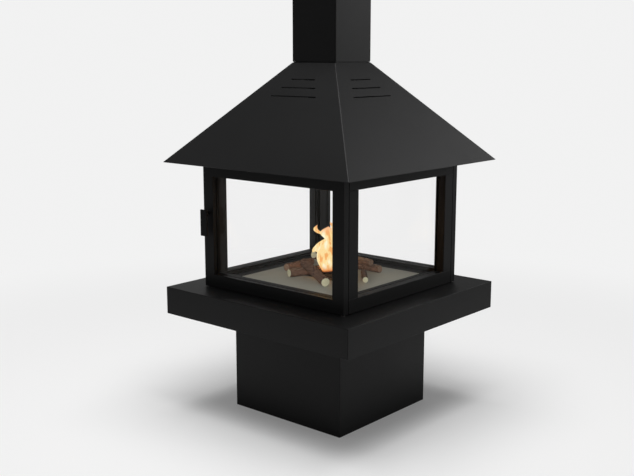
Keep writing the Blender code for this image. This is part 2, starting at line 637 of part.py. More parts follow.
def door(name, side, has_handle):
    """One door: side is -1 at the front and 1 at the rear. Hinged at +X, latched at -X."""
    y_low, y_high = between(side * DOOR_BACK, side * DOOR_FACE)
    frame = upright_ring(name + "_door_frame", HALF_X, (DOOR_BOTTOM, DOOR_TOP), OPEN_X, (SILL, HEAD),
                         y_low, y_high, BLACK_STEEL)
    seat_depth = GAP + GLASS + GAP + RETAINER + GAP
    rebate_x = OPEN_X + GLASS_LAP
    rebate_z = (SILL - GLASS_LAP, HEAD + GLASS_LAP)
    back = side * DOOR_BACK
    seat_y = between(back - side * 0.01, back + side * seat_depth)
    cut(frame, box(name + "_glass_rebate", (-rebate_x, seat_y[0], rebate_z[0]),
                   (rebate_x, seat_y[1], rebate_z[1])))

    groove_y = between(back - side * 0.01, back + side * ROPE_GROOVE_DEPTH)
    rope_x = HALF_X - ROPE_INSET
    rope_z = (DOOR_BOTTOM + ROPE_INSET, DOOR_TOP - ROPE_INSET)
    edge = ROPE_GROOVE / 2
    groove = box(name + "_groove_tool", (-rope_x - edge, groove_y[0], rope_z[0] - edge),
                 (rope_x + edge, groove_y[1], rope_z[1] + edge))
    cut(groove, box(name + "_groove_core", (-rope_x + edge, groove_y[0] - PAST, rope_z[0] + edge),
                    (rope_x - edge, groove_y[1] + PAST, rope_z[1] - edge)))
    cut(frame, groove)

    # the hinge edge is chamfered at the back, so that it turns past the body
    corner = [(HALF_X - HINGE_RELIEF, side * (DOOR_BACK - 0.001)), (HALF_X + 0.001, side * (DOOR_BACK - 0.001)),
              (HALF_X + 0.001, side * (DOOR_BACK + HINGE_RELIEF)), (HALF_X, side * (DOOR_BACK + HINGE_RELIEF)),
              (HALF_X - HINGE_RELIEF, side * DOOR_BACK)]
    cut(frame, extruded(name + "_hinge_relief", [corner], DOOR_BOTTOM - PAST, DOOR_TOP + PAST))

    bore = PIN_RADIUS + PIN_CLEARANCE
    for level, reach in ((DOOR_BOTTOM, 1), (DOOR_TOP, -1)):
        cut(frame, round_bar(name + "_pin_bore", (HINGE_X, side * HINGE_Y, level - reach * 0.01),
                             (HINGE_X, side * HINGE_Y, level + reach * (PIN_DEPTH + 0.001)), bore))
    cut(frame, round_bar(name + "_spindle_bore", (SPINDLE_X, side * (DOOR_BACK - PAST), SPINDLE_Z),
                         (SPINDLE_X, side * (DOOR_FACE + PAST), SPINDLE_Z),
                         SPINDLE_RADIUS + PIN_CLEARANCE, segments=16))

    glass_x = rebate_x - GLASS_CLEARANCE
    glass_z = (rebate_z[0] + GLASS_CLEARANCE, rebate_z[1] - GLASS_CLEARANCE)
    glass_back = back + side * (seat_depth - GAP - GLASS)
    ys = between(glass_back, glass_back + side * GLASS)
    glass = box(name + "_door_glass", (-glass_x, ys[0], glass_z[0]), (glass_x, ys[1], glass_z[1]), CLEAR_GLASS)
    ys = between(back + side * GAP, back + side * (GAP + RETAINER))
    holder = upright_ring(name + "_glass_retainer", glass_x, glass_z, OPEN_X, (SILL, HEAD), ys[0], ys[1],
                          BLACK_STEEL)
    rope = rope_loop(name + "_door_rope", rope_x, rope_z[0], rope_z[1],
                     side * (DOOR_BACK + ROPE_GROOVE_DEPTH - GAP - ROPE_RADIUS - 0.0001), ROPE_FIBRE)

    lower_pin(name, side)
    upper_bracket(name, side)
    spindle, cam = latch(name, side, not has_handle)
    moved_into(axis_empty(name + "_door_axis", (HINGE_X, side * HINGE_Y, DOOR_BOTTOM)),
               frame, glass, holder, rope)
    latch_pieces = [spindle, cam]
    if has_handle:
        latch_pieces.append(handle_blade(name, side))
    moved_into(axis_empty(name + "_latch_axis", (SPINDLE_X, side * DOOR_FACE, SPINDLE_Z)), *latch_pieces)


def lower_pin(name, side):
    """Pivot pin with a bearing washer. Its shank goes down through the slab's cover."""
    pin = turned(name + "_lower_pin",
                 [(PIN_RADIUS, SLAB_TOP - 0.022), (PIN_RADIUS, SLAB_TOP + GAP), (0.008, SLAB_TOP + GAP),
                  (0.008, DOOR_BOTTOM - GAP), (PIN_RADIUS, DOOR_BOTTOM - GAP),
                  (PIN_RADIUS, DOOR_BOTTOM + PIN_DEPTH)], RAW_STEEL)
    pin.location = (HINGE_X, side * HINGE_Y, 0.0)


def upper_bracket(name, side):
    """Plate bolted on the top frame, with the upper pivot pin welded under its end."""
    ys = between(side * (HALF_Y - 0.060), side * DOOR_FACE)
    plate = box(name + "_hinge_bracket", (HINGE_X - 0.026, ys[0], ARM_LEVEL), (HALF_X, ys[1], ARM_LEVEL + BRACKET),
                RAW_STEEL)
    pin = round_bar(name + "_upper_pin", (HINGE_X, side * HINGE_Y, DOOR_TOP - PIN_DEPTH),
                    (HINGE_X, side * HINGE_Y, ARM_LEVEL + BRACKET / 2), PIN_RADIUS, RAW_STEEL)
    boolean(plate, pin, "UNION")


def latch(name, side, key_end):
    """Spindle through the door and the oblong cam behind it. A key end is flush, with a hex socket."""
    wall_back = HALF_Y - POST_WALL
    cam_far = side * (wall_back - 0.0065)
    cam_near = side * (wall_back - 0.0065 + CAM_THICKNESS)
    tip = side * (wall_back - 0.008)
    outer = side * (DOOR_FACE + 0.001) if key_end else side * (DOOR_FACE + BLADE_STANDOFF - GAP)
    spindle = round_bar(name + "_spindle", (SPINDLE_X, tip, SPINDLE_Z), (SPINDLE_X, outer, SPINDLE_Z),
                        SPINDLE_RADIUS, RAW_STEEL, 16)
    if key_end:
        cut(spindle, round_bar(name + "_hex_socket", (SPINDLE_X, outer - side * 0.008, SPINDLE_Z),
                               (SPINDLE_X, outer + side * 0.01, SPINDLE_Z), 0.0023, segments=6))
    else:
        boss = round_bar(name + "_boss", (SPINDLE_X, side * (DOOR_FACE + 0.0005), SPINDLE_Z),
                         (SPINDLE_X, outer, SPINDLE_Z), BOSS_RADIUS, RAW_STEEL)
        boolean(spindle, boss, "UNION")
    ys = between(cam_far, cam_near)
    length = CAM_HALF_LENGTH
    cam = box(name + "_cam", (SPINDLE_X - length, ys[0], SPINDLE_Z - CAM_HALF_WIDTH),
              (SPINDLE_X + length, ys[1], SPINDLE_Z + CAM_HALF_WIDTH), RAW_STEEL)
    cut(cam, round_bar(name + "_cam_bore", (SPINDLE_X, ys[0] - PAST, SPINDLE_Z),
                       (SPINDLE_X, ys[1] + PAST, SPINDLE_Z), SPINDLE_RADIUS + GAP, segments=16))
    return spindle, cam


def handle_blade(name, side):
    """Flat paddle that stands off the door, with softly broken edges."""
    middle = SPINDLE_X + 0.0095
    ys = between(side * (DOOR_FACE + BLADE_STANDOFF), side * (DOOR_FACE + BLADE_STANDOFF + BLADE_THICKNESS))
    blade = box(name + "_handle_blade", (middle - BLADE_WIDTH / 2, ys[0], BLADE_BOTTOM),
                (middle + BLADE_WIDTH / 2, ys[1], BLADE_BOTTOM + BLADE_HEIGHT), BLACK_STEEL)
    return soften(blade, 0.0015)


# ---------------------------------------------------------------- smoke path
def smoke_path():
    """Baffle, smoke dome, spigot and flue pipe."""
    half_x = THROAT_X + BAFFLE_LAP
    half_y = THROAT_Y - SMOKE_GAP
    baffle = box("baffle", (-half_x, -half_y, DOME_FOOT), (half_x, half_y, DOME_FOOT + BAFFLE_THICKNESS),
                 VERMICULITE)
    moved_into(axis_empty("baffle_axis", (0, 0, DOME_FOOT)), baffle)

    top = DOME_FOOT + DOME_HEIGHT
    foot_x = FIREBOX_WIDTH - 2 * DOME_INSET
    foot_y = BODY_DEPTH - 2 * DOME_INSET
    dome = pyramid("smoke_dome", foot_x, foot_y, DOME_TOP, DOME_TOP, DOME_FOOT, top, BLACK_STEEL)
    wall_x = wall_inset(DOME_SHEET, (foot_x - DOME_TOP) / 2, DOME_HEIGHT)
    wall_y = wall_inset(DOME_SHEET, (foot_y - DOME_TOP) / 2, DOME_HEIGHT)
    hollow = stretched_pyramid("dome_hollow", foot_x - 2 * wall_x, foot_y - 2 * wall_y,
                               DOME_TOP - 2 * wall_x, DOME_TOP - 2 * wall_y, DOME_FOOT, top)
    cut(dome, hollow)

    plate_low = top + GAP
    plate_high = plate_low + DOME_SHEET
    half = DOME_TOP / 2
    spigot_radius = FLUE_RADIUS - FLUE_WALL - 0.0005
    collar = box("flue_collar", (-half, -half, plate_low), (half, half, plate_high), BLACK_STEEL)
    tube = round_bar("collar_tube", (0, 0, plate_low + 0.001), (0, 0, plate_low + SPIGOT_HEIGHT),
                     spigot_radius, BLACK_STEEL, 48)
    boolean(collar, tube, "UNION")
    cut(collar, round_bar("collar_bore", (0, 0, plate_low - PAST), (0, 0, plate_low + SPIGOT_HEIGHT + PAST),
                          spigot_radius - DOME_SHEET, segments=48))
    pipe_low = plate_high + GAP
    pipe_high = COVER_TOP + FLUE_ABOVE_COVER
    pipe = round_bar("flue_pipe", (0, 0, pipe_low), (0, 0, pipe_high), FLUE_RADIUS, BLACK_STEEL, 48)
    cut(pipe, round_bar("flue_bore", (0, 0, pipe_low - PAST), (0, 0, pipe_high + PAST),
                        FLUE_RADIUS - FLUE_WALL, segments=48))


def wall_inset(thickness, run, rise):
    """How far in a sheet of this thickness reaches, measured level, on a wall that leans by run/rise."""
    return thickness * math.hypot(run, rise) / rise


def stretched_pyramid(name, foot_x, foot_y, top_x, top_y, foot, top):
    """A cutting frustum that runs on along its slopes past both ends."""
    past = 0.02
    step_x = (foot_x - top_x) / (top - foot) * past
    step_y = (foot_y - top_y) / (top - foot) * past
    return pyramid(name, foot_x + step_x, foot_y + step_y, top_x - step_x, top_y - step_y,
                   foot - past, top + past)


def hood():
    """Pyramid hood with three convection slots in each face, and the four arms that carry it."""
    shell = pyramid("hood", HOOD_SIZE, HOOD_SIZE, COVER_SIZE, COVER_SIZE, HOOD_FOOT, HOOD_TOP, BLACK_STEEL)
    inset = wall_inset(HOOD_SHEET, HOOD_RUN, HOOD_RISE)
    cut(shell, stretched_pyramid("hood_hollow", HOOD_SIZE - 2 * inset, HOOD_SIZE - 2 * inset,
                                 COVER_SIZE - 2 * inset, COVER_SIZE - 2 * inset, HOOD_FOOT, HOOD_TOP))
    for quarter in range(4):
        turn = Matrix.Rotation(math.radians(90) * quarter, 4, "Z")
        # faces in turn: front, right, rear, left
        along = {1: SIDE_SLOT_SHIFT, 3: -SIDE_SLOT_SHIFT}.get(quarter, 0.0)
        for length, fall in zip(SLOT_LENGTHS, SLOT_FALLS):
            out = COVER_SIZE / 2 + fall * math.cos(HOOD_SLOPE)
            level = HOOD_TOP - fall * math.sin(HOOD_SLOPE)
            tool = box("hood_slot", (-length / 2, -SLOT_HEIGHT / 2, -0.010), (length / 2, SLOT_HEIGHT / 2, 0.010))
            lean = Matrix.Rotation(HOOD_SLOPE, 4, "X")
            tool.matrix_world = turn @ Matrix.Translation((along, -out, level)) @ lean
            cut(shell, tool)
        arm_top = ARM_LEVEL + ARM_THICKNESS
        reach = HOOD_SIZE / 2 - inset - (arm_top - HOOD_FOOT) / math.tan(HOOD_SLOPE) - GAP
        start = (HALF_X if quarter in (1, 3) else HALF_Y) - 0.040
        arm = box("hood_arm_%d" % (quarter + 1), (-ARM_WIDTH / 2, -reach, ARM_LEVEL),
                  (ARM_WIDTH / 2, -start, arm_top), RAW_STEEL)
        arm.matrix_world = turn @ Matrix.Translation(arm.location)


def flue_cover():
    """Collar on the hood, the square cover that stands on it, and the lid around the flue pipe."""
    flange_low = HOOD_TOP + GAP
    flange_high = flange_low + COLLAR_FLANGE
    flange = COVER_SIZE - 2 * COLLAR_RECESS
    collar = box("cover_collar", (-flange / 2, -flange / 2, flange_low), (flange / 2, flange / 2, flange_high),
                 BLACK_STEEL, COVER_RADIUS)
    half = COLLAR_TUBE / 2
    tube = box("collar_square_tube", (-half, -half, HOOD_TOP - COLLAR_DROP), (half, half, flange_high - 0.001),
               BLACK_STEEL, COVER_RADIUS)
    boolean(collar, tube, "UNION")
    bore = half - COVER_SHEET
    cut(collar, box("collar_square_bore", (-bore, -bore, HOOD_TOP - COLLAR_DROP - PAST),
                    (bore, bore, flange_high + PAST), None, COVER_RADIUS - COVER_SHEET))
    inner = COVER_SIZE - 2 * COVER_SHEET
    ring("chimney_cover", COVER_SIZE, COVER_SIZE, inner, inner, COVER_FOOT, COVER_TOP, BLACK_STEEL,
         COVER_RADIUS, COVER_RADIUS - COVER_SHEET)
    lid_half = inner / 2 - GAP
    lid_top = COVER_TOP - LID_DROP
    lid = box("cover_lid", (-lid_half, -lid_half, lid_top - SHEET), (lid_half, lid_half, lid_top), BLACK_STEEL,
              COVER_RADIUS - COVER_SHEET)
    cut(lid, round_bar("lid_hole", (0, 0, lid_top - 0.02), (0, 0, lid_top + 0.02), FLUE_RADIUS + GAP,
                       segments=48))


# ---------------------------------------------------------------- fuel
def logs():
    """Seven sticks laid as a small fire: (end, end, radius) of each, with heights above the hearth."""
    sticks = (
        ((-0.102, -0.158, 0.0), (-0.030, 0.060, 0.0), 0.0195),
        ((-0.187, -0.081, 0.0), (-0.188, 0.090, 0.0), 0.0180),
        ((0.125, -0.184, 0.0), (-0.078, -0.088, 0.0392), 0.0185),
        ((-0.098, -0.022, 0.0660), (0.060, 0.080, 0.0), 0.0175),
        ((0.141, 0.163, 0.0), (-0.050, 0.166, 0.0), 0.0180),
        ((0.109, 0.143, 0.0298), (-0.055, 0.150, 0.0328), 0.0155),
        ((0.208, -0.025, 0.0), (0.103, 0.096, 0.0), 0.0135),
    )
    for number, (first, second, radius) in enumerate(sticks, 1):
        lift = HEARTH_TOP + GAP + radius
        ends = [Vector(end) + Vector((0, 0, lift)) for end in (first, second)]
        round_bar("log_%d" % number, ends[0], ends[1], radius, LOG_BARK, 12)


pedestal()
air_supply()
slab()
ash_space()
base_frame()
posts()
top_frame()
side_windows()
door("front", -1, has_handle=True)
door("rear", 1, has_handle=False)
smoke_path()
hood()
flue_cover()
logs()
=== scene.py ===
# %% [markdown]
# # A wood stove with four glass sides
#
# A square pedestal carries a deep hearth slab, a firebox with a window in each side, a pyramid hood and
# a square flue cover. It is all matt black sheet steel, so the looks depend on three things: crisp edges
# with small bends that catch the light, a paint that is almost black but never flat, and a small bright
# fire behind clear glass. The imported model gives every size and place, and this lesson only reads them.

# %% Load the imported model
import json
import math

import bmesh
import bpy
import numpy as np
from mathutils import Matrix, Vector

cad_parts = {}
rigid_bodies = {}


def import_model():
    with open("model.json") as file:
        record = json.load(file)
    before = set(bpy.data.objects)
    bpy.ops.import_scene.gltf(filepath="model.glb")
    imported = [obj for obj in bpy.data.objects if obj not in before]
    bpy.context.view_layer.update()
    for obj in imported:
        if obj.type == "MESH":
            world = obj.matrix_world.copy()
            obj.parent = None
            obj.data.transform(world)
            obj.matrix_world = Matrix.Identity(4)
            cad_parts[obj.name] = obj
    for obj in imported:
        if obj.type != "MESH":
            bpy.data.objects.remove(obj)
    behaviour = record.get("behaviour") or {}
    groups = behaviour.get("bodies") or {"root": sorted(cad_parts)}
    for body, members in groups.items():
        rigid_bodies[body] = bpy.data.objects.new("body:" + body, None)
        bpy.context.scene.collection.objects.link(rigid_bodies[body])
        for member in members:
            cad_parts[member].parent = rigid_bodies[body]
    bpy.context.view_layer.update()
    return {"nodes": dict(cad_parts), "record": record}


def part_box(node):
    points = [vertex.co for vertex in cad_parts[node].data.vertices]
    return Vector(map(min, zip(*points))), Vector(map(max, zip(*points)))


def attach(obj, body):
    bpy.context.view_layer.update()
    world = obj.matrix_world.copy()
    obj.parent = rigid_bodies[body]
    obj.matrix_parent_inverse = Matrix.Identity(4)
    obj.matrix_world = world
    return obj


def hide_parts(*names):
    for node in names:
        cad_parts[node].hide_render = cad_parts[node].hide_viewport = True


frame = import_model()
scene = bpy.context.scene
nodes = frame["nodes"]

# %% [markdown]
# ## The camera
#
# A long lens from a little above the hearth keeps upright edges nearly upright. The camera looks along
# one bearing and one pitch. Its sensor is 36 mm wide.

# %% The camera
CAMERA_PLACE = (2.6383, -3.1430, 1.5247)
CAMERA_BEARING = math.radians(40.860)   # round from the front, towards the right-hand window
CAMERA_PITCH = math.radians(10.842)     # looking down
CAMERA_LENS = 55.26

lens = bpy.data.cameras.new("studio_camera")
lens.lens = CAMERA_LENS
lens.sensor_width = 36.0
camera = bpy.data.objects.new("studio_camera", lens)
camera.location = CAMERA_PLACE
camera.rotation_euler = (math.radians(90) - CAMERA_PITCH, 0.0, CAMERA_BEARING)
scene.collection.objects.link(camera)
scene.camera = camera
print("camera at", CAMERA_PLACE, "lens", CAMERA_LENS)

# %% [markdown]
# ## Shader sums as Python expressions
#
# A finish is mostly sums: a noise times a small amount, added to a base value, and clipped. A small
# class wraps one socket and turns +, -, * and ** into Math nodes. Every other node comes from one method.


# %% The socket class and the finish class
def math_step(operation, turned=False):
    """A method that adds a Math node, with the numbers the other way round when turned."""
    def method(self, other):
        pair = (other, self) if turned else (self, other)
        return self.finish.node("ShaderNodeMath", {"operation": operation}, {0: pair[0], 1: pair[1]})
    return method


class Wire:
    """One output socket. Sums of wires and numbers add Math nodes to the wire's own material."""

    __add__ = math_step("ADD")
    __sub__ = math_step("SUBTRACT")
    __rsub__ = math_step("SUBTRACT", turned=True)
    __mul__ = math_step("MULTIPLY")
    __pow__ = math_step("POWER")

    def __init__(self, finish, socket):
        self.finish = finish
        self.socket = socket

    def clipped(self):
        """The value held between 0 and 1."""
        made = self + 0.0
        made.socket.node.use_clamp = True
        return made


class Finish:
    """A material with one Principled shader."""

    def __init__(self, name, colour=None, roughness=0.5, metallic=0.0, specular=0.5):
        self.material = bpy.data.materials.new(name)
        self.material.use_nodes = True
        self.tree = self.material.node_tree
        self.shader = self.tree.nodes["Principled BSDF"]
        self.output = self.tree.nodes["Material Output"]
        self.set("Base Color", (*(colour or (0.5, 0.5, 0.5)), 1.0))
        self.set("Roughness", roughness)
        self.set("Metallic", metallic)
        self.set("Specular IOR Level", specular)

    def plug(self, socket, value):
        """Link a wire to a socket, or write a plain value on it."""
        if isinstance(value, Wire):
            self.tree.links.new(value.socket, socket)
        elif socket.type == "RGBA" and len(value) == 3:
            socket.default_value = (*value, 1.0)
        else:
            socket.default_value = value

    def set(self, name, value):
        """Give one of the shader's own sockets a value or a wire."""
        self.plug(self.shader.inputs[name], value)

    def node(self, kind, settings=None, values=None, out=0):
        """Any node: its settings first, then the values or wires of its sockets. Gives one output."""
        made = self.tree.nodes.new(kind)
        for key, value in (settings or {}).items():
            setattr(made, key, value)
        for key, value in (values or {}).items():
            self.plug(made.inputs[key], value)
        return Wire(self, made.outputs[out])

    def place(self, stretch=None):
        """Object coordinates, stretched per axis where a stretch is given."""
        raw = self.node("ShaderNodeTexCoord", out="Object")
        if stretch is None:
            return raw
        return self.node("ShaderNodeMapping", None, {"Vector": raw, "Scale": stretch})

    def noise(self, scale, detail=3.0, rough=0.5, where=None):
        """Fractal noise from 0 to 1. The scale is in waves to the metre."""
        return self.node("ShaderNodeTexNoise", None, {"Vector": where or self.place(), "Scale": scale,
                                                      "Detail": detail, "Roughness": rough})

    def attribute(self, name):
        """A number that the mesh carries at each point."""
        return self.node("ShaderNodeAttribute", {"attribute_name": name}, None, "Fac")

    def mix(self, factor, first, second):
        """Two colours mixed by a number."""
        return self.node("ShaderNodeMix", {"data_type": "RGBA"}, {"Factor": factor, 6: first, 7: second}, 2)

    def distance(self, point):
        """How far the surface lies from a point, in metres."""
        return self.node("ShaderNodeVectorMath", {"operation": "DISTANCE"}, {0: self.place(), 1: point},
                         "Value")

    def ramp(self, value, low, high):
        """A number carried smoothly from 0 at low to 1 at high."""
        return self.node("ShaderNodeMapRange", {"interpolation_type": "SMOOTHSTEP"},
                         {"Value": value, "From Min": low, "From Max": high})

    def bump(self, height, distance, strength=1.0):
        """Relief in the surface: height from 0 to 1 stands for 0 to distance metres."""
        self.set("Normal", self.node("ShaderNodeBump", None,
                                     {"Height": height, "Distance": distance, "Strength": strength}))


# %% [markdown]
# ## The black paint
#
# Heat-proof stove paint dries matt, with a texture as fine as orange peel. It is near black but reads as
# dark grey where light grazes it. Dust changes its gloss more than its colour, so noise moves the
# roughness a little and the colour less. The cast frames wear the same paint over a coarser skin.


# %% Black paint for sheet steel and for castings
def black_paint(name, colour, roughness, peel_scale, peel_depth):
    """Matt paint: slow noise shifts colour and roughness, fine noise is the orange peel."""
    paint = Finish(name, colour, roughness, specular=0.16)
    cloud = paint.noise(3.5, 3.0)
    dust = paint.ramp(paint.noise(38.0, 4.0, 0.65), 0.55, 0.80)
    lighter = tuple(c * 1.35 for c in colour)
    darker = tuple(c * 0.82 for c in colour)
    paint.set("Base Color", paint.mix((cloud * 0.8 + dust * 0.2).clipped(), darker, lighter))
    paint.set("Roughness", (cloud - 0.5) * 0.10 + dust * 0.05 + roughness)
    paint.bump(paint.noise(peel_scale, 2.0), peel_depth, 0.35)
    return paint.material


HANDLE_PAINT = black_paint("handle_black", (0.0040, 0.0040, 0.0040), 0.55, 900.0, 0.00008)
SHEET_PAINT = black_paint("stove_black_on_sheet", (0.0078, 0.0078, 0.0080), 0.46, 900.0, 0.00012)
CAST_PAINT = black_paint("stove_black_on_castings", (0.0080, 0.0080, 0.0080), 0.52, 420.0, 0.00025)
print("paints:", SHEET_PAINT.name, CAST_PAINT.name)

# %% [markdown]
# ## Bare steel
#
# Pins, spindles and brackets are ground steel. Grinding leaves fine lines, which a noise squeezed along
# one axis gives, and heat has browned the steel a little in patches.


# %% Bare steel
def bare_steel():
    """Ground steel: stretched noise for the grinding lines, slow noise for the heat tint."""
    steel = Finish("ground_steel", (0.34, 0.33, 0.32), 0.35, 1.0)
    lines = steel.noise(60.0, 3.0, 0.6, steel.place((1.0, 1.0, 14.0)))
    tint = steel.ramp(steel.noise(9.0, 2.0), 0.45, 0.75)
    steel.set("Base Color", steel.mix(tint, (0.36, 0.35, 0.34), (0.27, 0.23, 0.19)))
    steel.set("Roughness", lines * 0.25 + 0.26)
    steel.bump(lines, 0.00004, 0.5)
    return steel.material


GROUND_STEEL = bare_steel()

# %% [markdown]
# ## Glass
#
# The eye sees a pane as a faint mirror that grows towards grazing angles, with a slight smoky veil. A
# refracting glass would darken what is behind it, so the pane is a thin mirror. Its opacity follows
# Schlick's rule: a small share straight on, and the fifth power of how far the surface turns away.


# %% Glass
def clear_pane():
    """Opacity = share straight on + rest times (1 - cos)^5, plus a little smoke haze in patches."""
    pane = Finish("clear_glass_ceramic", (0.93, 0.94, 0.92), 0.03, 1.0)
    turned_away = pane.node("ShaderNodeLayerWeight", None, {"Blend": 0.5}, "Facing")
    haze = pane.ramp(pane.noise(5.0, 3.0), 0.45, 0.85) * 0.004
    pane.set("Alpha", (turned_away ** 5.0 * 0.6 + haze + 0.008).clipped())
    return pane.material


CLEAR_GLASS = clear_pane()

# %% [markdown]
# ## Fireclay, vermiculite and rope
#
# The hearth plate is fireclay: pale grey with an olive cast, a sandy grain, and a browner patch of soot
# and painted log shade round the fire. The baffle is pressed vermiculite, with golden flakes. The door
# rope is grey glass fibre, and its strands are in the mesh, so the finish only adds the fibres.


# %% Ceramic and fibre finishes
def fireclay(hearth_middle):
    """Fired clay: sandy noise, faint clouds, and soot with painted log shade, fading away from the fire."""
    clay = Finish("pale_fireclay", (0.52, 0.52, 0.47), 0.88, specular=0.25)
    sand = clay.noise(700.0, 2.0, 0.7)
    cloud = clay.noise(7.0, 3.0)
    near = 1.0 - clay.ramp(clay.distance(hearth_middle), 0.06, 0.24)
    # painted shade: the brown round the fire is partly soot, partly the logs' shadow painted on the clay
    soot_and_log_shade = near * clay.ramp(clay.noise(16.0, 4.0, 0.6), 0.25, 0.75)
    plain = clay.mix(cloud, (0.400, 0.405, 0.345), (0.470, 0.475, 0.410))
    grained = clay.mix(clay.ramp(sand, 0.35, 0.75), plain, (0.540, 0.540, 0.470))
    clay.set("Base Color", clay.mix(soot_and_log_shade * 0.75, grained, (0.240, 0.155, 0.110)))
    clay.set("Roughness", sand * 0.12 + 0.80)
    clay.bump(sand, 0.0003, 0.5)
    return clay.material


def vermiculite():
    """Pressed flakes: cells with their own tone, and dents between them."""
    board = Finish("pressed_vermiculite", (0.5, 0.42, 0.3), 0.9, specular=0.2)
    flake = board.node("ShaderNodeTexVoronoi", None, {"Vector": board.place(), "Scale": 260.0}, "Distance")
    tone = board.noise(120.0, 3.0)
    board.set("Base Color", board.mix(tone, (0.42, 0.34, 0.22), (0.60, 0.52, 0.38)))
    board.bump(flake, 0.0006, 0.6)
    return board.material


def fibre_rope():
    """Glass-fibre yarn: fine streaks between a darker and a paler grey."""
    yarn = Finish("glass_fibre_rope", (0.2, 0.19, 0.18), 0.95, specular=0.15)
    streak = yarn.noise(900.0, 3.0, 0.7)
    yarn.set("Base Color", yarn.mix(streak, (0.11, 0.105, 0.10), (0.27, 0.26, 0.24)))
    yarn.bump(streak, 0.0002, 0.6)
    return yarn.material


hearth_low, hearth_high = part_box("hearth_plate")
HEARTH_TOP = hearth_high[2]
FIRECLAY = fireclay((0.0, 0.0, HEARTH_TOP))
VERMICULITE = vermiculite()
ROPE = fibre_rope()
print("hearth top at", round(HEARTH_TOP, 4))

# %% [markdown]
# ## From arrays to a piece
#
# Every new piece is worked out as arrays of points and faces. One function turns the arrays into a mesh,
# and another gives the mesh its finish and says which body carries it and what it stands for. A grid of
# points needs the same face pattern each time, with or without ends.


# %% Pieces from points and faces
PAINTED = []                            # every painted piece, for the shading step further on


def settle(name, mesh, look, body, stands_for, smooth):
    """One object from a mesh, with its finish and shading, riding on a body."""
    mesh.materials.clear()
    mesh.materials.append(look)
    mesh.shade_smooth()
    mesh.set_sharp_from_angle(angle=math.radians(smooth))
    piece = bpy.data.objects.new(name, mesh)
    scene.collection.objects.link(piece)
    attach(piece, body)
    if stands_for:
        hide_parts(*stands_for)
    if look in (SHEET_PAINT, CAST_PAINT, HANDLE_PAINT):
        PAINTED.append(piece)
    print("made", name, len(mesh.vertices), "points")
    return piece


def bevel(piece, name, width, segments, angle):
    """Ease a piece's edges that turn by more than an angle."""
    ease = piece.modifiers.new(name, "BEVEL")
    ease.width = width
    ease.segments = segments
    ease.limit_method = "ANGLE"
    ease.angle_limit = math.radians(angle)


def add_piece(name, points, faces, look, body="root", slot="black_steel", stands_for=(), smooth=35.0):
    """One object from its points and faces, with its normals pointing out."""
    mesh = bpy.data.meshes.new(name)
    mesh.from_pydata(np.asarray(points, float).tolist(), [], [list(map(int, face)) for face in faces])
    shape = bmesh.new()
    shape.from_mesh(mesh)
    bmesh.ops.recalc_face_normals(shape, faces=shape.faces)
    shape.to_mesh(mesh)
    shape.free()
    return settle(name, mesh, look, body, stands_for, smooth)


def grid_faces(rows, columns, close_rows=False, close_columns=True):
    """Quads between neighbouring rows of a grid. A closed direction joins its last line to its first."""
    row = np.arange(rows if close_rows else rows - 1)
    column = np.arange(columns if close_columns else columns - 1)
    here, beside = np.meshgrid(row, column, indexing="ij")
    after = (here + 1) % rows
    next_column = (beside + 1) % columns
    quads = np.stack([here * columns + beside, here * columns + next_column,
                      after * columns + next_column, after * columns + beside], axis=-1)
    return quads.reshape(-1, 4)


def capped_faces(rows, around):
    """The quads of a tube, and one flat face at each end."""
    last = around * (rows - 1)
    return [*grid_faces(rows, around), range(around), range(last, last + around)]


# %% [markdown]
# ## Sheet metal as stacked loops
#
# Pedestal, slab, collar, cover and door frames have one thing in common: a section that runs round a
# rectangle. The section is a closed outline of stations, each with its half sizes and a level. Its
# corners are eased into small bends, and every station becomes a rounded rectangle.


# %% Eased sections and rounded rectangles
def eased(corners, radius, steps=4):
    """Each corner P becomes a curve (1-s)^2 A + 2 s (1-s) P + s^2 B, with A and B at the radius from P.

    The radius may be one number or one for each corner, and it never takes more than 45% of a side.
    """
    corner = np.asarray(corners, float)
    reach = np.broadcast_to(np.asarray(radius, float), (len(corner),))
    sides = []
    for other in (np.roll(corner, 1, axis=0), np.roll(corner, -1, axis=0)):
        way = other - corner
        length = np.linalg.norm(way, axis=1)
        share = np.minimum(reach / length, 0.45)
        sides.append(corner + way * share[:, None])
    s = np.linspace(0.0, 1.0, steps + 1)[None, :, None]
    curve = ((1 - s) ** 2 * sides[0][:, None] + 2 * s * (1 - s) * corner[:, None]
             + s ** 2 * sides[1][:, None])
    return curve.reshape(-1, corner.shape[1])


def rounded_rectangles(half_u, half_v, corner, arc=4):
    """Points (u, v) of one rounded rectangle for each entry: four quarter circles joined by sides."""
    angle = np.linspace(0.0, 90.0, arc + 1)
    turn = np.radians((np.arange(4) * 90.0)[:, None] + angle[None, :]).ravel()
    sign_u = np.repeat([1.0, -1.0, -1.0, 1.0], arc + 1)
    sign_v = np.repeat([1.0, 1.0, -1.0, -1.0], arc + 1)
    u = sign_u * (half_u - corner)[:, None] + corner[:, None] * np.cos(turn)
    v = sign_v * (half_v - corner)[:, None] + corner[:, None] * np.sin(turn)
    return u, v


def closed_section(u, v, level, axis, middle):
    """Points and faces of a section's grid (u, v), with the level of each row along one axis."""
    level = np.broadcast_to(level[:, None], u.shape)
    order = {"z": (u, v, level), "y": (u, level, v)}[axis]
    points = np.stack(order, axis=-1).reshape(-1, 3) + np.asarray(middle)
    return points, grid_faces(*u.shape, close_rows=True)


def looped_section(stations, corner, bend, axis="z", middle=(0.0, 0.0, 0.0), arc=4, steps=4):
    """A section carried round a rectangle. Stations: (half_u, half_v, level), or (half, level) if square.

    The corner radius is given at the widest station and shrinks with the half width, down to 0.4 mm.
    """
    path = eased([(place[0], *place[-2:]) for place in stations], bend, steps)
    radius = np.maximum(corner - (path[:, 0].max() - path[:, 0]), 0.0004)
    u, v = rounded_rectangles(path[:, 0], path[:, 1], radius, arc)
    return closed_section(u, v, path[:, 2], axis, middle)


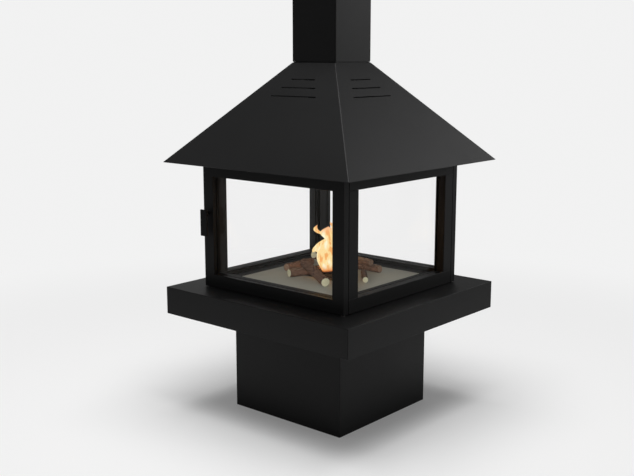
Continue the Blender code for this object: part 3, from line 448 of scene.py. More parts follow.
def sheet_shell(name, stations, corner, bend, node, body="root", **shape):
    """A painted piece made from a looped section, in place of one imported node."""
    add_piece(name, *looped_section(stations, corner, bend, **shape), SHEET_PAINT, body, stands_for=(node,))


# %% [markdown]
# ## Pedestal and hearth slab
#
# The pedestal is a column of 4 mm sheet, and the slab is a deep tray turned upside down over it. Their
# folded edges show as a thin lighter line along each top edge.

# %% Pedestal and slab
SHEET = 0.004
EDGE_BEND = 0.0012
UPRIGHT_BEND = 0.003
ASH_HOLE_MARGIN = 0.037                  # from the ash pan out to the edge of the hole over it

low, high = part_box("pedestal_shell")
outer = high[0]
inner = outer - SHEET
sheet_shell("pedestal_column",
            [(outer, low[2]), (outer, high[2]), (inner, high[2]), (inner, low[2])],
            UPRIGHT_BEND, EDGE_BEND, "pedestal_shell")

low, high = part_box("slab_shell")
outer = high[0]
ash_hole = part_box("ash_pan")[1][0] + ASH_HOLE_MARGIN
inner = outer - SHEET
under = high[2] - SHEET
slab_bends = [0.0008, 0.0030, 0.0008, 0.0008, 0.0030, 0.0008]
sheet_shell("hearth_slab",
            [(outer, low[2]), (outer, high[2]), (ash_hole, high[2]), (ash_hole, under), (inner, under),
             (inner, low[2])],
            UPRIGHT_BEND, slab_bends, "slab_shell")

# %% [markdown]
# ## The hood
#
# The hood is a pyramid of 3 mm sheet with three slots in each face, through which warm air leaves. Its
# rows lie at the edges of the slots and its columns at their ends, so a slot is made by leaving cells of
# the grid out. Solidify then gives the sheet its thickness, and the slots get real walls.

# %% The hood's skin
HOOD_SHEET = 0.003
SLOT_HEIGHT = 0.0055
SLOT_LENGTHS = (0.126, 0.182, 0.240)
SLOT_FALLS = (0.091, 0.1355, 0.181)      # down the slope from the top edge
SIDE_SLOT_SHIFT = -0.031                 # the slots over the side windows sit nearer the front
HIP_RADIUS = 0.004
SLOT_MARGIN = 0.004                      # kept between a hip's bend and the nearest slot end
BEND_STEPS = 4

hood_low, hood_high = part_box("hood")
cover_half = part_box("chimney_cover")[1][0]
hood_rise = hood_high[2] - hood_low[2]
hood_run = hood_high[0] - cover_half
slope = math.hypot(hood_rise, hood_run)
rim = slope - HOOD_SHEET * hood_run / hood_rise      # the sheet's inner edge hangs lower than its outer
slot_edges = [fall + side * SLOT_HEIGHT / 2 for fall in SLOT_FALLS for side in (-1, 1)]
rows = np.array([0.0] + slot_edges + [rim])
share = rows / slope
half = cover_half + hood_run * share
level = hood_high[2] - hood_rise * share
ends = np.array(sorted(sign * length / 2 for length in SLOT_LENGTHS for sign in (-1, 1)))


def hood_face(shift):
    """Along-face places, one row for each level: left bend, six slot ends, right bend."""
    reach = half - HIP_RADIUS
    room = np.minimum(1.0, (reach - SLOT_MARGIN) / (np.abs(ends).max() + abs(shift)))
    inner_places = (ends + shift)[None, :] * room[:, None]
    return np.concatenate([-reach[:, None], inner_places, reach[:, None]], axis=1)


hood_loops = []
for quarter in range(4):
    along = hood_face({1: SIDE_SLOT_SHIFT, 3: -SIDE_SLOT_SHIFT}.get(quarter, 0.0))
    bend = np.radians(np.linspace(-90.0, 0.0, BEND_STEPS + 1)[1:-1])
    arc_u = (half - HIP_RADIUS)[:, None] + HIP_RADIUS * np.cos(bend)
    arc_v = -(half - HIP_RADIUS)[:, None] + HIP_RADIUS * np.sin(bend)
    u = np.concatenate([along, arc_u], axis=1)
    v = np.concatenate([np.repeat(-half[:, None], along.shape[1], axis=1), arc_v], axis=1)
    cosine, sine = round(math.cos(math.pi / 2 * quarter)), round(math.sin(math.pi / 2 * quarter))
    hood_loops.append(np.stack([u * cosine - v * sine, u * sine + v * cosine,
                                np.repeat(level[:, None], u.shape[1], axis=1)], axis=-1))
hood_points = np.concatenate(hood_loops, axis=1)
columns = hood_points.shape[1]
per_face = columns // 4
cells = grid_faces(len(rows), columns)
keep = np.ones((len(rows) - 1, columns), bool)
for number in range(len(SLOT_LENGTHS)):
    first = 3 - number
    for quarter in range(4):
        keep[1 + 2 * number, quarter * per_face + first:quarter * per_face + 7 - first] = False
hood = add_piece("pyramid_hood", hood_points.reshape(-1, 3), cells[keep.ravel()], SHEET_PAINT,
                 stands_for=("hood",), smooth=30.0)
thick = hood.modifiers.new("sheet", "SOLIDIFY")
thick.thickness = HOOD_SHEET
thick.offset = -1.0
thick.use_even_offset = True
bevel(hood, "broken_edges", 0.0004, 1, 50)
print("hood cells left out for slots:", int((~keep).sum()))

# %% [markdown]
# ## Collar, flue cover and flue pipe
#
# A collar with a narrow flange sits on the hood, 1.5 mm in from the cover, and leaves a dark line. The
# round flue pipe stands out of the cover's top, with a swaged bead where the next length pushes on.

# %% Collar, cover and pipe
COVER_SHEET = 0.002
COVER_BEND = 0.006
TUBE_INSET = 0.0045                      # the collar's tube stands this far inside the cover
GAP = 0.0003                             # left between packed neighbours
PIPE_WALL = 0.002
BEAD_DEPTH = 0.0016
BEAD_HALF = 0.004
BEAD_FROM_TOP = 0.016

low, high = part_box("cover_collar")
flange = high[0]
tube = cover_half - TUBE_INSET
bore = tube - COVER_SHEET
flange_low = hood_high[2] + GAP
sheet_shell("hood_collar",
            [(flange, flange_low), (flange, high[2]), (bore, high[2]), (bore, low[2]), (tube, low[2]),
             (tube, flange_low)],
            COVER_BEND, 0.0005, "cover_collar")

low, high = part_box("chimney_cover")
inner = cover_half - COVER_SHEET
sheet_shell("square_flue_cover",
            [(cover_half, low[2]), (cover_half, high[2]), (inner, high[2]), (inner, low[2])],
            COVER_BEND, 0.0007, "chimney_cover", arc=6)


def turned_ring(section, middle=(0.0, 0.0, 0.0), around=96, axis="z"):
    """A closed section of (radius, level) carried round an axis."""
    section = np.asarray(section, float)
    angle = np.linspace(0.0, 2 * math.pi, around, endpoint=False)
    u, v = section[:, :1] * np.cos(angle), section[:, :1] * np.sin(angle)
    return closed_section(u, v, section[:, 1], axis, middle)


low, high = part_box("flue_pipe")
radius = high[0]
skin = radius - BEAD_DEPTH
bead_level = high[2] - BEAD_FROM_TOP
bead = [(skin + BEAD_DEPTH * math.sin(a), bead_level - BEAD_HALF * math.cos(a))
        for a in np.linspace(0.0, math.pi, 7)]
pipe_section = [(skin, low[2]), *bead, (skin, high[2] - 0.0004), (radius - 0.0020, high[2]),
                (skin - PIPE_WALL, high[2]), (skin - PIPE_WALL, low[2])]
add_piece("flue_pipe_end", *turned_ring(pipe_section), SHEET_PAINT, stands_for=("flue_pipe",))

# %% [markdown]
# ## The doors
#
# A door is a frame of flat stiles and rails. Its back has a groove for the sealing rope and a rebate for
# the glass, which an inner frame holds. That is one section carried round the door's rectangle, standing
# up this time. The outer back edge is eased more, which lets it turn past the firebox.

# %% Door frames and their glass retainers
RAIL = 0.056
GLASS_LAP = 0.014
ROPE_GROOVE = 0.008
ROPE_GROOVE_DEPTH = 0.006
GLASS_SEAT_DEPTH = 0.0122
DOOR_CORNER = 0.0016


def framed(which, name, node, stations, bends):
    """A section of (inset, level) stations carried round the box of one of a door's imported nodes."""
    low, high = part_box(node)
    height = (high[2] - low[2]) / 2
    section = [(high[0] - inset, height - inset, level) for inset, level in stations]
    sheet_shell(which + name, section, DOOR_CORNER, bends, node, which + "_door",
                axis="y", middle=(0.0, 0.0, (low[2] + high[2]) / 2), steps=3)


def door_frame(which, side):
    """The door's section, from its outer back edge round to its face and in again."""
    node = which + "_door_frame"
    low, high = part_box(node)
    back, face = sorted((low[1], high[1]), key=abs)
    rope_low, rope_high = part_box(which + "_door_rope")
    rope = high[0] - (rope_high[0] - (rope_high[1] - rope_low[1]) / 2)
    seat = back + side * GLASS_SEAT_DEPTH
    groove_floor = back + side * ROPE_GROOVE_DEPTH
    stations = [(0.0, back), (rope - ROPE_GROOVE / 2, back), (rope - ROPE_GROOVE / 2, groove_floor),
                (rope + ROPE_GROOVE / 2, groove_floor), (rope + ROPE_GROOVE / 2, back),
                (RAIL - GLASS_LAP, back), (RAIL - GLASS_LAP, seat), (RAIL, seat), (RAIL, face), (0.0, face)]
    bends = [0.0030, 0.0003, 0.0003, 0.0003, 0.0003, 0.0003, 0.0003, 0.0006, 0.0012, 0.0014]
    framed(which, "_door", node, stations, bends)


def retaining_frame(which):
    """The flat inner frame that holds a door's glass."""
    node = which + "_glass_retainer"
    low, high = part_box(node)
    lap = GLASS_LAP - 0.001
    framed(which, "_door_glass_frame", node, [(0.0, low[1]), (0.0, high[1]), (lap, high[1]), (lap, low[1])],
           0.0009)


for which, side in (("front", -1), ("rear", 1)):
    door_frame(which, side)
    retaining_frame(which)

# %% [markdown]
# ## The door rope
#
# The seal is a tube along a rounded rectangle, and its radius rises and falls with three strands that
# wind round it, so the braid is real relief.


# %% Door ropes
def braided_loop(which, strands=3, turn_length=0.016, around=15):
    """Radius = R (0.86 + 0.14 |cos(strands/2 angle - winding)|), carried along a rounded rectangle."""
    low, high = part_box(which + "_door_rope")
    radius = (high[1] - low[1]) / 2
    half_u = high[0] - radius
    half_v = (high[2] - low[2]) / 2 - radius
    bend = radius + 0.0003
    arc = np.radians(np.linspace(0.0, 90.0, 7))
    straight_u = np.linspace(-(half_u - bend), half_u - bend, 130)[1:-1]
    straight_v = np.linspace(-(half_v - bend), half_v - bend, 90)[1:-1]
    sides = []
    for quarter, (sign_u, sign_v) in enumerate(((1, 1), (-1, 1), (-1, -1), (1, -1))):
        a = arc + math.pi / 2 * quarter
        sides.append(np.stack([sign_u * (half_u - bend) + bend * np.cos(a),
                               sign_v * (half_v - bend) + bend * np.sin(a), a], axis=1))
        outward = math.pi / 2 * (quarter + 1)
        if quarter % 2 == 0:
            sides.append([(-sign_u * u, sign_v * half_v, outward) for u in straight_u])
        else:
            sides.append([(sign_u * half_u, -sign_v * v, outward) for v in straight_v])
    path = np.concatenate(sides)
    gone = np.linalg.norm(np.diff(path[:, :2], axis=0, prepend=path[-1:, :2]), axis=1).cumsum()
    turns = round(gone[-1] / turn_length)
    winding = gone / gone[-1] * turns * 2 * math.pi
    angle = np.linspace(0.0, 2 * math.pi, around, endpoint=False)
    strand = np.abs(np.cos(strands / 2 * (angle[None, :] - 2 / strands * winding[:, None])))
    size = radius * (0.86 + 0.14 * strand)
    out = path[:, 2][:, None]
    u = path[:, 0][:, None] + size * np.cos(angle) * np.cos(out)
    v = path[:, 1][:, None] + size * np.cos(angle) * np.sin(out)
    y = (low[1] + high[1]) / 2 + size * np.sin(angle)
    points = np.stack([u, y, v + (low[2] + high[2]) / 2], axis=-1).reshape(-1, 3)
    add_piece(which + "_braided_rope", points, grid_faces(len(path), around, close_rows=True), ROPE,
              which + "_door", "rope_fibre", (which + "_door_rope",), 180.0)


for which in ("front", "rear"):
    braided_loop(which)

# %% [markdown]
# ## The handle
#
# The handle is a flat upright blade with milled edges: stacked rounded rectangles between two flat ends.


# %% The handle blade
def rounded_plate(low, high, corner, bend, steps=5, arc=6):
    """A closed plate across Y: inset rises from 0 to the bend as (1 - cos) while the level moves as sin."""
    s = np.linspace(0.0, math.pi / 2, steps)
    inset = np.concatenate([bend * (1 - np.sin(s)), bend * (1 - np.sin(s))[::-1]])
    level = np.concatenate([low[1] + bend * (1 - np.cos(s)), (high[1] - bend * (1 - np.cos(s)))[::-1]])
    half_u = (high[0] - low[0]) / 2 - inset
    half_v = (high[2] - low[2]) / 2 - inset
    u, v = rounded_rectangles(half_u, half_v, np.maximum(corner - inset, 0.0005), arc)
    middle = ((low[0] + high[0]) / 2, (low[2] + high[2]) / 2)
    y = np.broadcast_to(level[:, None], u.shape)
    points = np.stack([u + middle[0], y, v + middle[1]], axis=-1).reshape(-1, 3)
    return points, capped_faces(*u.shape)


add_piece("door_handle_blade", *rounded_plate(*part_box("front_handle_blade"), 0.0022, 0.0014), HANDLE_PAINT,
          "front_handle", stands_for=("front_handle_blade",))

# %% [markdown]
# ## The air knob
#
# The knob is turned: a neck, a body with shallow grip grooves, and an eased front edge.


# %% The air knob
low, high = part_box("air_knob")
knob_radius = high[0]
knob_length = high[1] - low[1]
along = np.linspace(0.0, 1.0, 44)
neck = np.interp(along, (0.0, 0.16, 0.34, 1.0), (0.55, 0.55, 1.0, 1.0))
groove_start, groove_stop, groove_count = 0.42, 0.84, 4
groove_wave = np.sin((along - groove_start) / (groove_stop - groove_start) * groove_count * 2 * math.pi)
grooves = 0.05 * np.maximum(0.0, groove_wave) * ((along > groove_start) & (along < groove_stop))
front_ease = np.sqrt(np.clip(1 - np.clip((along - 0.90) / 0.10, 0, 1) ** 2 * 0.55, 0, 1))
profile = np.stack([knob_radius * (neck - grooves) * front_ease, high[1] - along * knob_length], axis=1)
ROD_BORE = 0.0053
POINTED = 0.0005                         # the turned section ends this close to its axis
bore_end = high[1] - 0.62 * knob_length
profile = np.concatenate([profile, [(POINTED, low[1]), (POINTED, bore_end), (ROD_BORE, bore_end),
                                    (ROD_BORE, high[1])]])
knob_middle = (0.0, 0.0, (low[2] + high[2]) / 2)
add_piece("air_control_knob", *turned_ring(profile, knob_middle, 48, "y"), SHEET_PAINT, "air_control",
          stands_for=("air_knob",))

# %% [markdown]
# ## Frames with eased edges
#
# Posts, frames, side retainers and grate have slots and rebates that differ from side to side. Their
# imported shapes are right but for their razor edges. A copy of each is merged, its flat faces are joined,
# and a Bevel eases the edges.


# %% Eased copies
def eased_copy(node, name, look, width):
    """The node's own shape with its points merged, flat faces joined and edges eased by a bevel."""
    mesh = nodes[node].data.copy()
    mesh.name = name
    shape = bmesh.new()
    shape.from_mesh(mesh)
    bmesh.ops.remove_doubles(shape, verts=shape.verts, dist=0.00001)
    bmesh.ops.dissolve_limit(shape, angle_limit=math.radians(0.5), verts=shape.verts, edges=shape.edges)
    shape.to_mesh(mesh)
    shape.free()
    piece = settle(name, mesh, look, "root", (node,), 30.0)
    bevel(piece, "eased_edges", width, 2, 40)


for node in ("post_front_right", "post_front_left", "post_rear_right", "post_rear_left"):
    eased_copy(node, "window_" + node, SHEET_PAINT, 0.0009)
for node in ("side_retainer_right", "side_retainer_left"):
    eased_copy(node, "window_" + node, SHEET_PAINT, 0.0008)
eased_copy("base_frame", "firebox_sill", CAST_PAINT, 0.0010)
eased_copy("top_frame", "firebox_head", CAST_PAINT, 0.0010)
eased_copy("grate", "fire_grate", CAST_PAINT, 0.0008)

# %% [markdown]
# ## Flat sheets that shade flat
#
# Smooth shading averages the faces that meet at a point, so a large flat face next to a small bend looks
# pillowed. The Weighted Normal modifier lets each face count by its area, and only the small bend turns.

# %% Weighted normals on the painted pieces
for piece in PAINTED:
    even = piece.modifiers.new("even_shading", "WEIGHTED_NORMAL")
    even.mode = "FACE_AREA"
    even.weight = 50
    even.keep_sharp = True
print("evened", len(PAINTED), "painted pieces")

# %% [markdown]
# ## The hearth plate
#
# The fireclay plate has a rebate that the grate rests in, and its top edge is worn round.

# %% The hearth plate
GRATE_PLAY = 0.001
GRATE_LAP = 0.012

grate_low, grate_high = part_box("grate")
seat, hole = grate_high[0] + GRATE_PLAY, grate_high[0] - GRATE_LAP
plate_x, plate_y = hearth_high[:2]
seat_level = grate_low[2] - GAP
plate_stations = [(plate_x, plate_y, hearth_low[2]), (plate_x, plate_y, HEARTH_TOP), (seat, HEARTH_TOP),
                  (seat, seat_level), (hole, seat_level), (hole, hearth_low[2])]
add_piece("fireclay_hearth",
          *looped_section(plate_stations, 0.004, [0.001, 0.0028, 0.0015, 0.0005, 0.001, 0.0005]),
          FIRECLAY, slot="fireclay", stands_for=("hearth_plate",))

# %% [markdown]
# ## Firewood
#
# Each stick is a tube on its own axis. Its radius has a few slow bulges and fine furrows that wander
# along the grain, and split sticks have a flat side, which is the radius of a chord: d / cos(angle). The
# ends are sawn: rings close towards a middle point. Five numbers ride on the mesh: how far a point is cut
# wood, whether it is a pale sawn end, and how far out, along and round it lies.


# %% A stick of firewood
FURROW = 0.090                           # depth of the bark's furrows, as a share of the radius
BOW = 0.06                               # how far a stick's middle is bowed, likewise
CAP_RINGS = (0.965, 0.94, 0.80, 0.62, 0.44, 0.26, 0.10)     # of a sawn end, as shares of its edge
SAWN_INSET = 0.0008
RIM_CUT = 0.35                           # how far the bark's edge already looks like cut wood


def stick(number, split=None, pale_end=False, swell=1.0, oblique=0.0):
    """radius(angle, along) = R (bulges - furrows), limited by a chord on the split side."""
    node = "log_%d" % number
    points = np.array([v.co[:] for v in nodes[node].data.vertices])
    middle = points.mean(axis=0)
    spread = points - middle
    axis = np.linalg.svd(spread, full_matrices=False)[2][0]
    axis = axis * (1 if axis[1] > 0 else -1)
    length = np.ptp(spread @ axis)
    radius = np.linalg.norm(spread - np.outer(spread @ axis, axis), axis=1).max()
    side = np.cross(axis, (0.0, 0.0, 1.0))
    side /= np.linalg.norm(side)
    up = np.cross(side, axis)
    chance = np.random.default_rng(40 + number)
    phase = chance.uniform(0.0, 2 * math.pi, 12)

    around, body_rows, cap = 72, 60, len(CAP_RINGS)
    angle = np.linspace(0.0, 2 * math.pi, around, endpoint=False)[None, :]
    along = np.linspace(0.0, 1.0, body_rows)[:, None]
    bulge = (0.965 + 0.020 * np.sin(2 * angle + phase[0]) + 0.012 * np.sin(3 * angle + phase[1] + 2 * along)
             + 0.018 * np.sin(7 * along + phase[2]) * np.sin(angle + phase[3]))
    wander = 0.35 * np.sin(5 * along + phase[4]) + 0.18 * np.sin(13 * along + phase[5])
    grain = (np.abs(np.sin(5.5 * angle + 3 * wander + phase[6])) ** 0.6 * 0.6
             + np.abs(np.sin(9.5 * angle - 4 * wander + phase[7] + 3 * np.sin(9 * along + phase[8]))) * 0.4)
    size = bulge - FURROW * (1 - grain)
    knot = np.exp(-((along - 0.3 - 0.4 * chance.uniform()) / 0.05) ** 2
                  - ((np.angle(np.exp(1j * (angle - phase[9])))) / 0.5) ** 2)
    size = size + 0.06 * knot
    bark = np.ones_like(size)
    if split is not None:
        facing, depth = split
        turned = np.cos(angle - math.radians(facing))
        ripple = 0.012 * np.sin(8 * angle + 6 * along + phase[10]) + 0.010 * np.sin(21 * along + phase[11])
        chord = np.where(turned > 0.05, (depth + ripple) / np.maximum(turned, 0.05), 9.0)
        bark = (chord > size).astype(float)
        size = np.minimum(size, chord)
    size = swell * size * (1 - 0.05 * np.exp(-np.minimum(along, 1 - along) / 0.02))

    shrink = np.array(CAP_RINGS)
    dome = 0.03 * radius * (1 - shrink ** 2)
    tilt = [chance.uniform(-0.10, 0.10, 2), chance.uniform(-0.10, 0.10, 2)]
    tilt[0][0] += oblique
    set_back = oblique * radius
    bow = BOW * radius * np.sin(math.pi * along)

    def ring_points(share, sway=0.0):
        """Places across the stick from shares of its radius, moved sideways by its bow."""
        u = share * radius * np.cos(angle) + sway * math.cos(phase[2])
        v = share * radius * np.sin(angle) + sway * math.sin(phase[2]) * 0.3
        return u, v

    caps = []
    for end, sign, back in ((0, -1.0, set_back), (-1, 1.0, 0.0)):
        u, v = ring_points(size[end][None, :] * shrink[:, None])
        w = sign * (length / 2 - SAWN_INSET + dome[:, None]) + tilt[end][0] * u + tilt[end][1] * v + back
        w = sign * np.minimum(np.abs(w), length / 2)
        caps.append(np.stack([u, v, w], axis=-1))
    u, v = ring_points(size, bow)
    lean, lean_v = ((1 - along) * tilt[0][k] + along * tilt[1][k] for k in (0, 1))
    w = (along - 0.5) * (length - 2 * SAWN_INSET) + lean * u + lean_v * v + (1 - along) * set_back
    w = np.clip(w, -length / 2, length / 2)
    local = np.concatenate([caps[0][::-1], np.stack([u, v, w], axis=-1), caps[1]])
    poles = np.array([[0.0, 0.0, -length / 2], [0.0, 0.0, length / 2]])
    flat = np.concatenate([local.reshape(-1, 3), poles])
    world = middle + flat[:, :1] * side + flat[:, 1:2] * up + flat[:, 2:] * axis

    total = local.shape[0]
    faces = list(grid_faces(total, around))
    poles_from = total * around
    column = np.arange(around)
    after = (column + 1) % around
    start = poles_from - around
    faces += [(poles_from, a, b) for a, b in zip(after, column)]
    faces += [(poles_from + 1, start + a, start + b) for a, b in zip(column, after)]

    cut = np.concatenate([np.ones((cap, around)), 1 - bark, np.ones((cap, around))])
    cut[cap - 1] = RIM_CUT
    cut[total - cap] = RIM_CUT
    sawn = np.zeros((total, around))
    sawn[:cap] = float(pale_end)
    rim_out = np.concatenate([shrink[::-1], np.ones(body_rows), shrink])[:, None] * np.ones((1, around))
    # each number for the grid of points, then for the two poles
    numbers = {"cut": (cut, (1.0, 1.0)), "sawn": (sawn, (float(pale_end), 0.0)),
               "out": (rim_out, (0.0, 0.0)), "along": (local[..., 2] + length / 2, (0.0, 0.0)),
               "round": (np.broadcast_to(angle / (2 * math.pi), cut.shape), (0.0, 0.0))}
    piece = add_piece("firewood_%d" % number, world, faces, FIREWOOD, slot="log_bark",
                      stands_for=(node,), smooth=50.0)
    for key, (values, ends) in numbers.items():
        store = piece.data.attributes.new(key, "FLOAT", "POINT")
        store.data.foreach_set("value", np.concatenate([values.ravel(), ends]).astype(np.float32))


# %% [markdown]
# ## The wood's finish
#
# Bark is brown with darker furrows, split faces are paler with a fine grain along the stick, and sawn
# ends are cream with rings. Close to the fire everything chars to black and a few edges glow.


# %% Bark, split wood, sawn ends and char
def firewood(fire_middle):
    """Three woods mixed by the mesh's own numbers, then charred by distance from the fire."""
    wood = Finish("split_firewood", (0.2, 0.12, 0.08), 0.85, specular=0.2)
    along, around, cut, sawn, out = map(wood.attribute, ("along", "round", "cut", "sawn", "out"))
    grain_place = wood.node("ShaderNodeCombineXYZ", None, {0: around * 12.0, 1: along * 14.0, 2: 0.0})
    streak = wood.noise(4.0, 5.0, 0.65, grain_place)
    fine = wood.noise(420.0, 3.0, 0.6)
    bark = wood.mix(wood.ramp(streak, 0.40, 0.60), (0.026, 0.014, 0.010), (0.290, 0.165, 0.110))
    bark = wood.mix(wood.ramp(fine, 0.55, 0.75) * 0.6, bark, (0.46, 0.32, 0.23))
    split = wood.mix(wood.ramp(streak, 0.38, 0.62), (0.10, 0.055, 0.034), (0.46, 0.31, 0.21))
    rings = wood.node("ShaderNodeMath", {"operation": "SINE"}, {0: (out + streak * 0.10) * 75.0})
    end_grain = wood.mix((rings * 0.5 + 0.5).clipped(), (0.66, 0.62, 0.40), (0.86, 0.83, 0.60))
    faces = wood.mix(sawn, split, end_grain)
    whole = wood.mix(cut, bark, faces)
    apart = wood.distance(fire_middle) + (wood.noise(30.0, 3.0) - 0.5) * 0.05
    near = 1.0 - wood.ramp(apart, 0.045, 0.115)
    whole = wood.mix((near * (0.88 - sawn * 0.75)).clipped(), whole, (0.018, 0.013, 0.011))
    ember = near * (1.0 - sawn) * wood.ramp(wood.noise(95.0, 3.0), 0.60, 0.68)
    wood.set("Base Color", whole)
    wood.set("Roughness", 0.93 - sawn * 0.1)
    wood.set("Emission Color", wood.mix(ember, (0.0, 0.0, 0.0), (1.0, 0.25, 0.05)))
    wood.set("Emission Strength", 1.0)
    wood.bump(streak * 0.7 + fine * 0.3, 0.0030, 0.8)
    return wood.material


FIRE_MIDDLE = (-0.010, 0.010, HEARTH_TOP + 0.045)
FIREWOOD = firewood(FIRE_MIDDLE)
SPLITS = {1: (80.0, 0.80), 5: (95.0, 0.84), 6: (110.0, 0.70)}     # facing angle and share of radius
SWELL = {3: 1.14}                        # a stick thicker than its stand-in
OBLIQUE = {4: 0.75}                      # slope of a slanting saw cut
PALE_ENDS = (1, 3, 4, 7)
for number in range(1, 8):
    stick(number, SPLITS.get(number), number in PALE_ENDS, SWELL.get(number, 1.0),
          OBLIQUE.get(number, 0.0))

# %% [markdown]
# ## Flames
#
# A flame has no skin, but a small fire seen by day reads as bright tongues with clear edges. Each tongue
# is a tube round a line that runs smoothly through a few guide points, with a radius at each. It shines
# with the colour of its height: deep orange where it leaves the wood, pale yellow in the body and orange
# again at the tip. It casts no shadow.


# %% A flame tongue
def smooth_line(guides, count):
    """Catmull-Rom: between two guides runs a cubic whose end slopes are half its neighbours' chord."""
    padded = np.concatenate([2 * guides[:1] - guides[1:2], guides, 2 * guides[-1:] - guides[-2:-1]])
    place = np.linspace(0.0, len(guides) - 1.0, count)
    first = np.minimum(place.astype(int), len(guides) - 2)
    f = (place - first)[:, None]
    before, start, end, after = (padded[first + k] for k in range(4))
    return (start + 0.5 * f * (end - before) + f ** 2 * (before - 2.5 * start + 2 * end - 0.5 * after)
            + f ** 3 * (1.5 * start - 0.5 * before - 1.5 * end + 0.5 * after))


def tongue(name, guides, phase, flat=0.75, rows=56, around=28):
    """A tube round a smooth line through guides (across, deep, up, radius), with climbing ripples."""
    s = np.linspace(0.0, 1.0, rows)[:, None]
    line = smooth_line(guides, rows)
    line[:, 3] = np.maximum(line[:, 3], 0.0005)
    angle = np.linspace(0.0, 2 * math.pi, around, endpoint=False)[None, :]
    close = np.sqrt(np.clip(1 - s ** 6, 0.0, 1.0)) * np.clip(s / 0.04, 0.0, 1.0) ** 0.5
    ripple = 1 + 0.05 * np.sin(2 * angle + 7 * s + phase) + 0.05 * np.sin(3 * angle - 11 * s + 2 * phase)
    radius = line[:, 3:] * close * ripple
    across = line[:, :1] + radius * np.cos(angle)
    deep = line[:, 1:2] + radius * np.sin(angle) * flat
    x = across * math.cos(FIRE_TURN) - deep * math.sin(FIRE_TURN)
    y = across * math.sin(FIRE_TURN) + deep * math.cos(FIRE_TURN)
    z = np.broadcast_to(line[:, 2:3], x.shape) + 0.15 * radius * np.sin(angle + phase)
    points = np.stack([x, y, z + HEARTH_TOP], axis=-1).reshape(-1, 3)
    piece = add_piece(name, points, capped_faces(rows, around), FLAME, slot="clear_glass", smooth=180.0)
    height = np.repeat(s[:, 0], around).astype(np.float32)
    piece.data.attributes.new("height", "FLOAT", "POINT").data.foreach_set("value", height)
    piece.visible_shadow = False


def flame_finish():
    """Light only: colour by height with orange streaks, and more see-through near foot and tip."""
    flame = Finish("flame", (0.0, 0.0, 0.0), 1.0, specular=0.0)
    height = flame.attribute("height")
    streak = flame.noise(52.0, 2.0, 0.55, flame.place((1.0, 1.0, 0.32)))
    pale = flame.mix(flame.ramp(streak, 0.30, 0.48), (1.0, 0.93, 0.66), (1.0, 0.74, 0.34))
    body = flame.mix(flame.ramp(streak, 0.52, 0.66), pale, (0.92, 0.42, 0.13))
    foot = flame.mix(flame.ramp(height, 0.0, 0.22), (0.75, 0.20, 0.04), body)
    flame.set("Emission Color", flame.mix(flame.ramp(height, 0.70, 1.0), foot, (0.95, 0.48, 0.24)))
    flame.set("Emission Strength", 1.0)
    tip = 1.0 - flame.ramp(height, 0.90, 1.0) * 0.5
    flame.set("Alpha", (flame.ramp(height, 0.0, 0.10) * tip).clipped())
    return flame.material


FLAME = flame_finish()
FIRE_TURN = math.radians(41)      # the fire is widest across the hearth's corner-to-corner line
TONGUES = (                      # guide points in millimetres: across, deep, up, radius
    ((-4, 0, 12, 26), (-8, 0, 35, 38), (-10, 0, 65, 50), (-10, 4, 100, 52), (-6, 8, 130, 42),
     (2, 8, 158, 30), (-12, 5, 183, 38), (-16, 0, 200, 30), (-12, 0, 213, 4)),
    ((-50, 60, 62, 14), (-60, 60, 92, 22), (-44, 50, 122, 22), (-18, 30, 150, 14), (-4, 15, 166, 4)),
    ((-34, 0, 180, 14), (-50, -3, 186, 16), (-64, -5, 198, 11), (-66, -5, 210, 7), (-58, -4, 221, 1)),
    ((20, 10, 12, 26), (32, 14, 60, 42), (24, 12, 120, 34), (12, 10, 165, 20), (20, 12, 200, 18),
     (2, 8, 222, 8), (-6, 4, 232, 1)),
    ((45, -10, 10, 18), (66, -13, 50, 26), (60, -12, 90, 17), (52, -10, 120, 9), (64, -12, 156, 1)),
    ((0, 50, 10, 22), (4, 64, 55, 34), (-4, 54, 100, 22), (-2, 48, 135, 12), (10, 54, 172, 1)),
)
for number, guides in enumerate(TONGUES, 1):
    tongue("flame_%d" % number, np.array(guides) / 1000, 1.7 * number)

# %% [markdown]
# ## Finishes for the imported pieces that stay
#
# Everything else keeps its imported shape: panes, pins, brackets, spindles, the air duct and the parts
# inside the hood. Each gets the finish that its slot in the record names.

# %% Finishes by slot
FINISHES = {"black_steel": SHEET_PAINT, "cast_iron": CAST_PAINT, "raw_steel": GROUND_STEEL,
            "clear_glass": CLEAR_GLASS, "fireclay": FIRECLAY, "vermiculite": VERMICULITE,
            "rope_fibre": ROPE, "log_bark": FIREWOOD}
slots = {row["node"]: row["material_slot"] for row in frame["record"]["subparts"]}
for node, item in nodes.items():
    look = FINISHES[slots[node]]
    if not item.data.materials:
        item.data.materials.append(look)
    for index in range(len(item.data.materials)):
        item.data.materials[index] = look
print("finished", len(nodes), "packed nodes")

# %% [markdown]
# ## Floor and backdrop
#
# The floor is a large round sheet that fades into the backdrop's own tone, so there is no horizon. The
# camera sees it a little lifted towards that tone, while its lit part keeps the soft shadow.

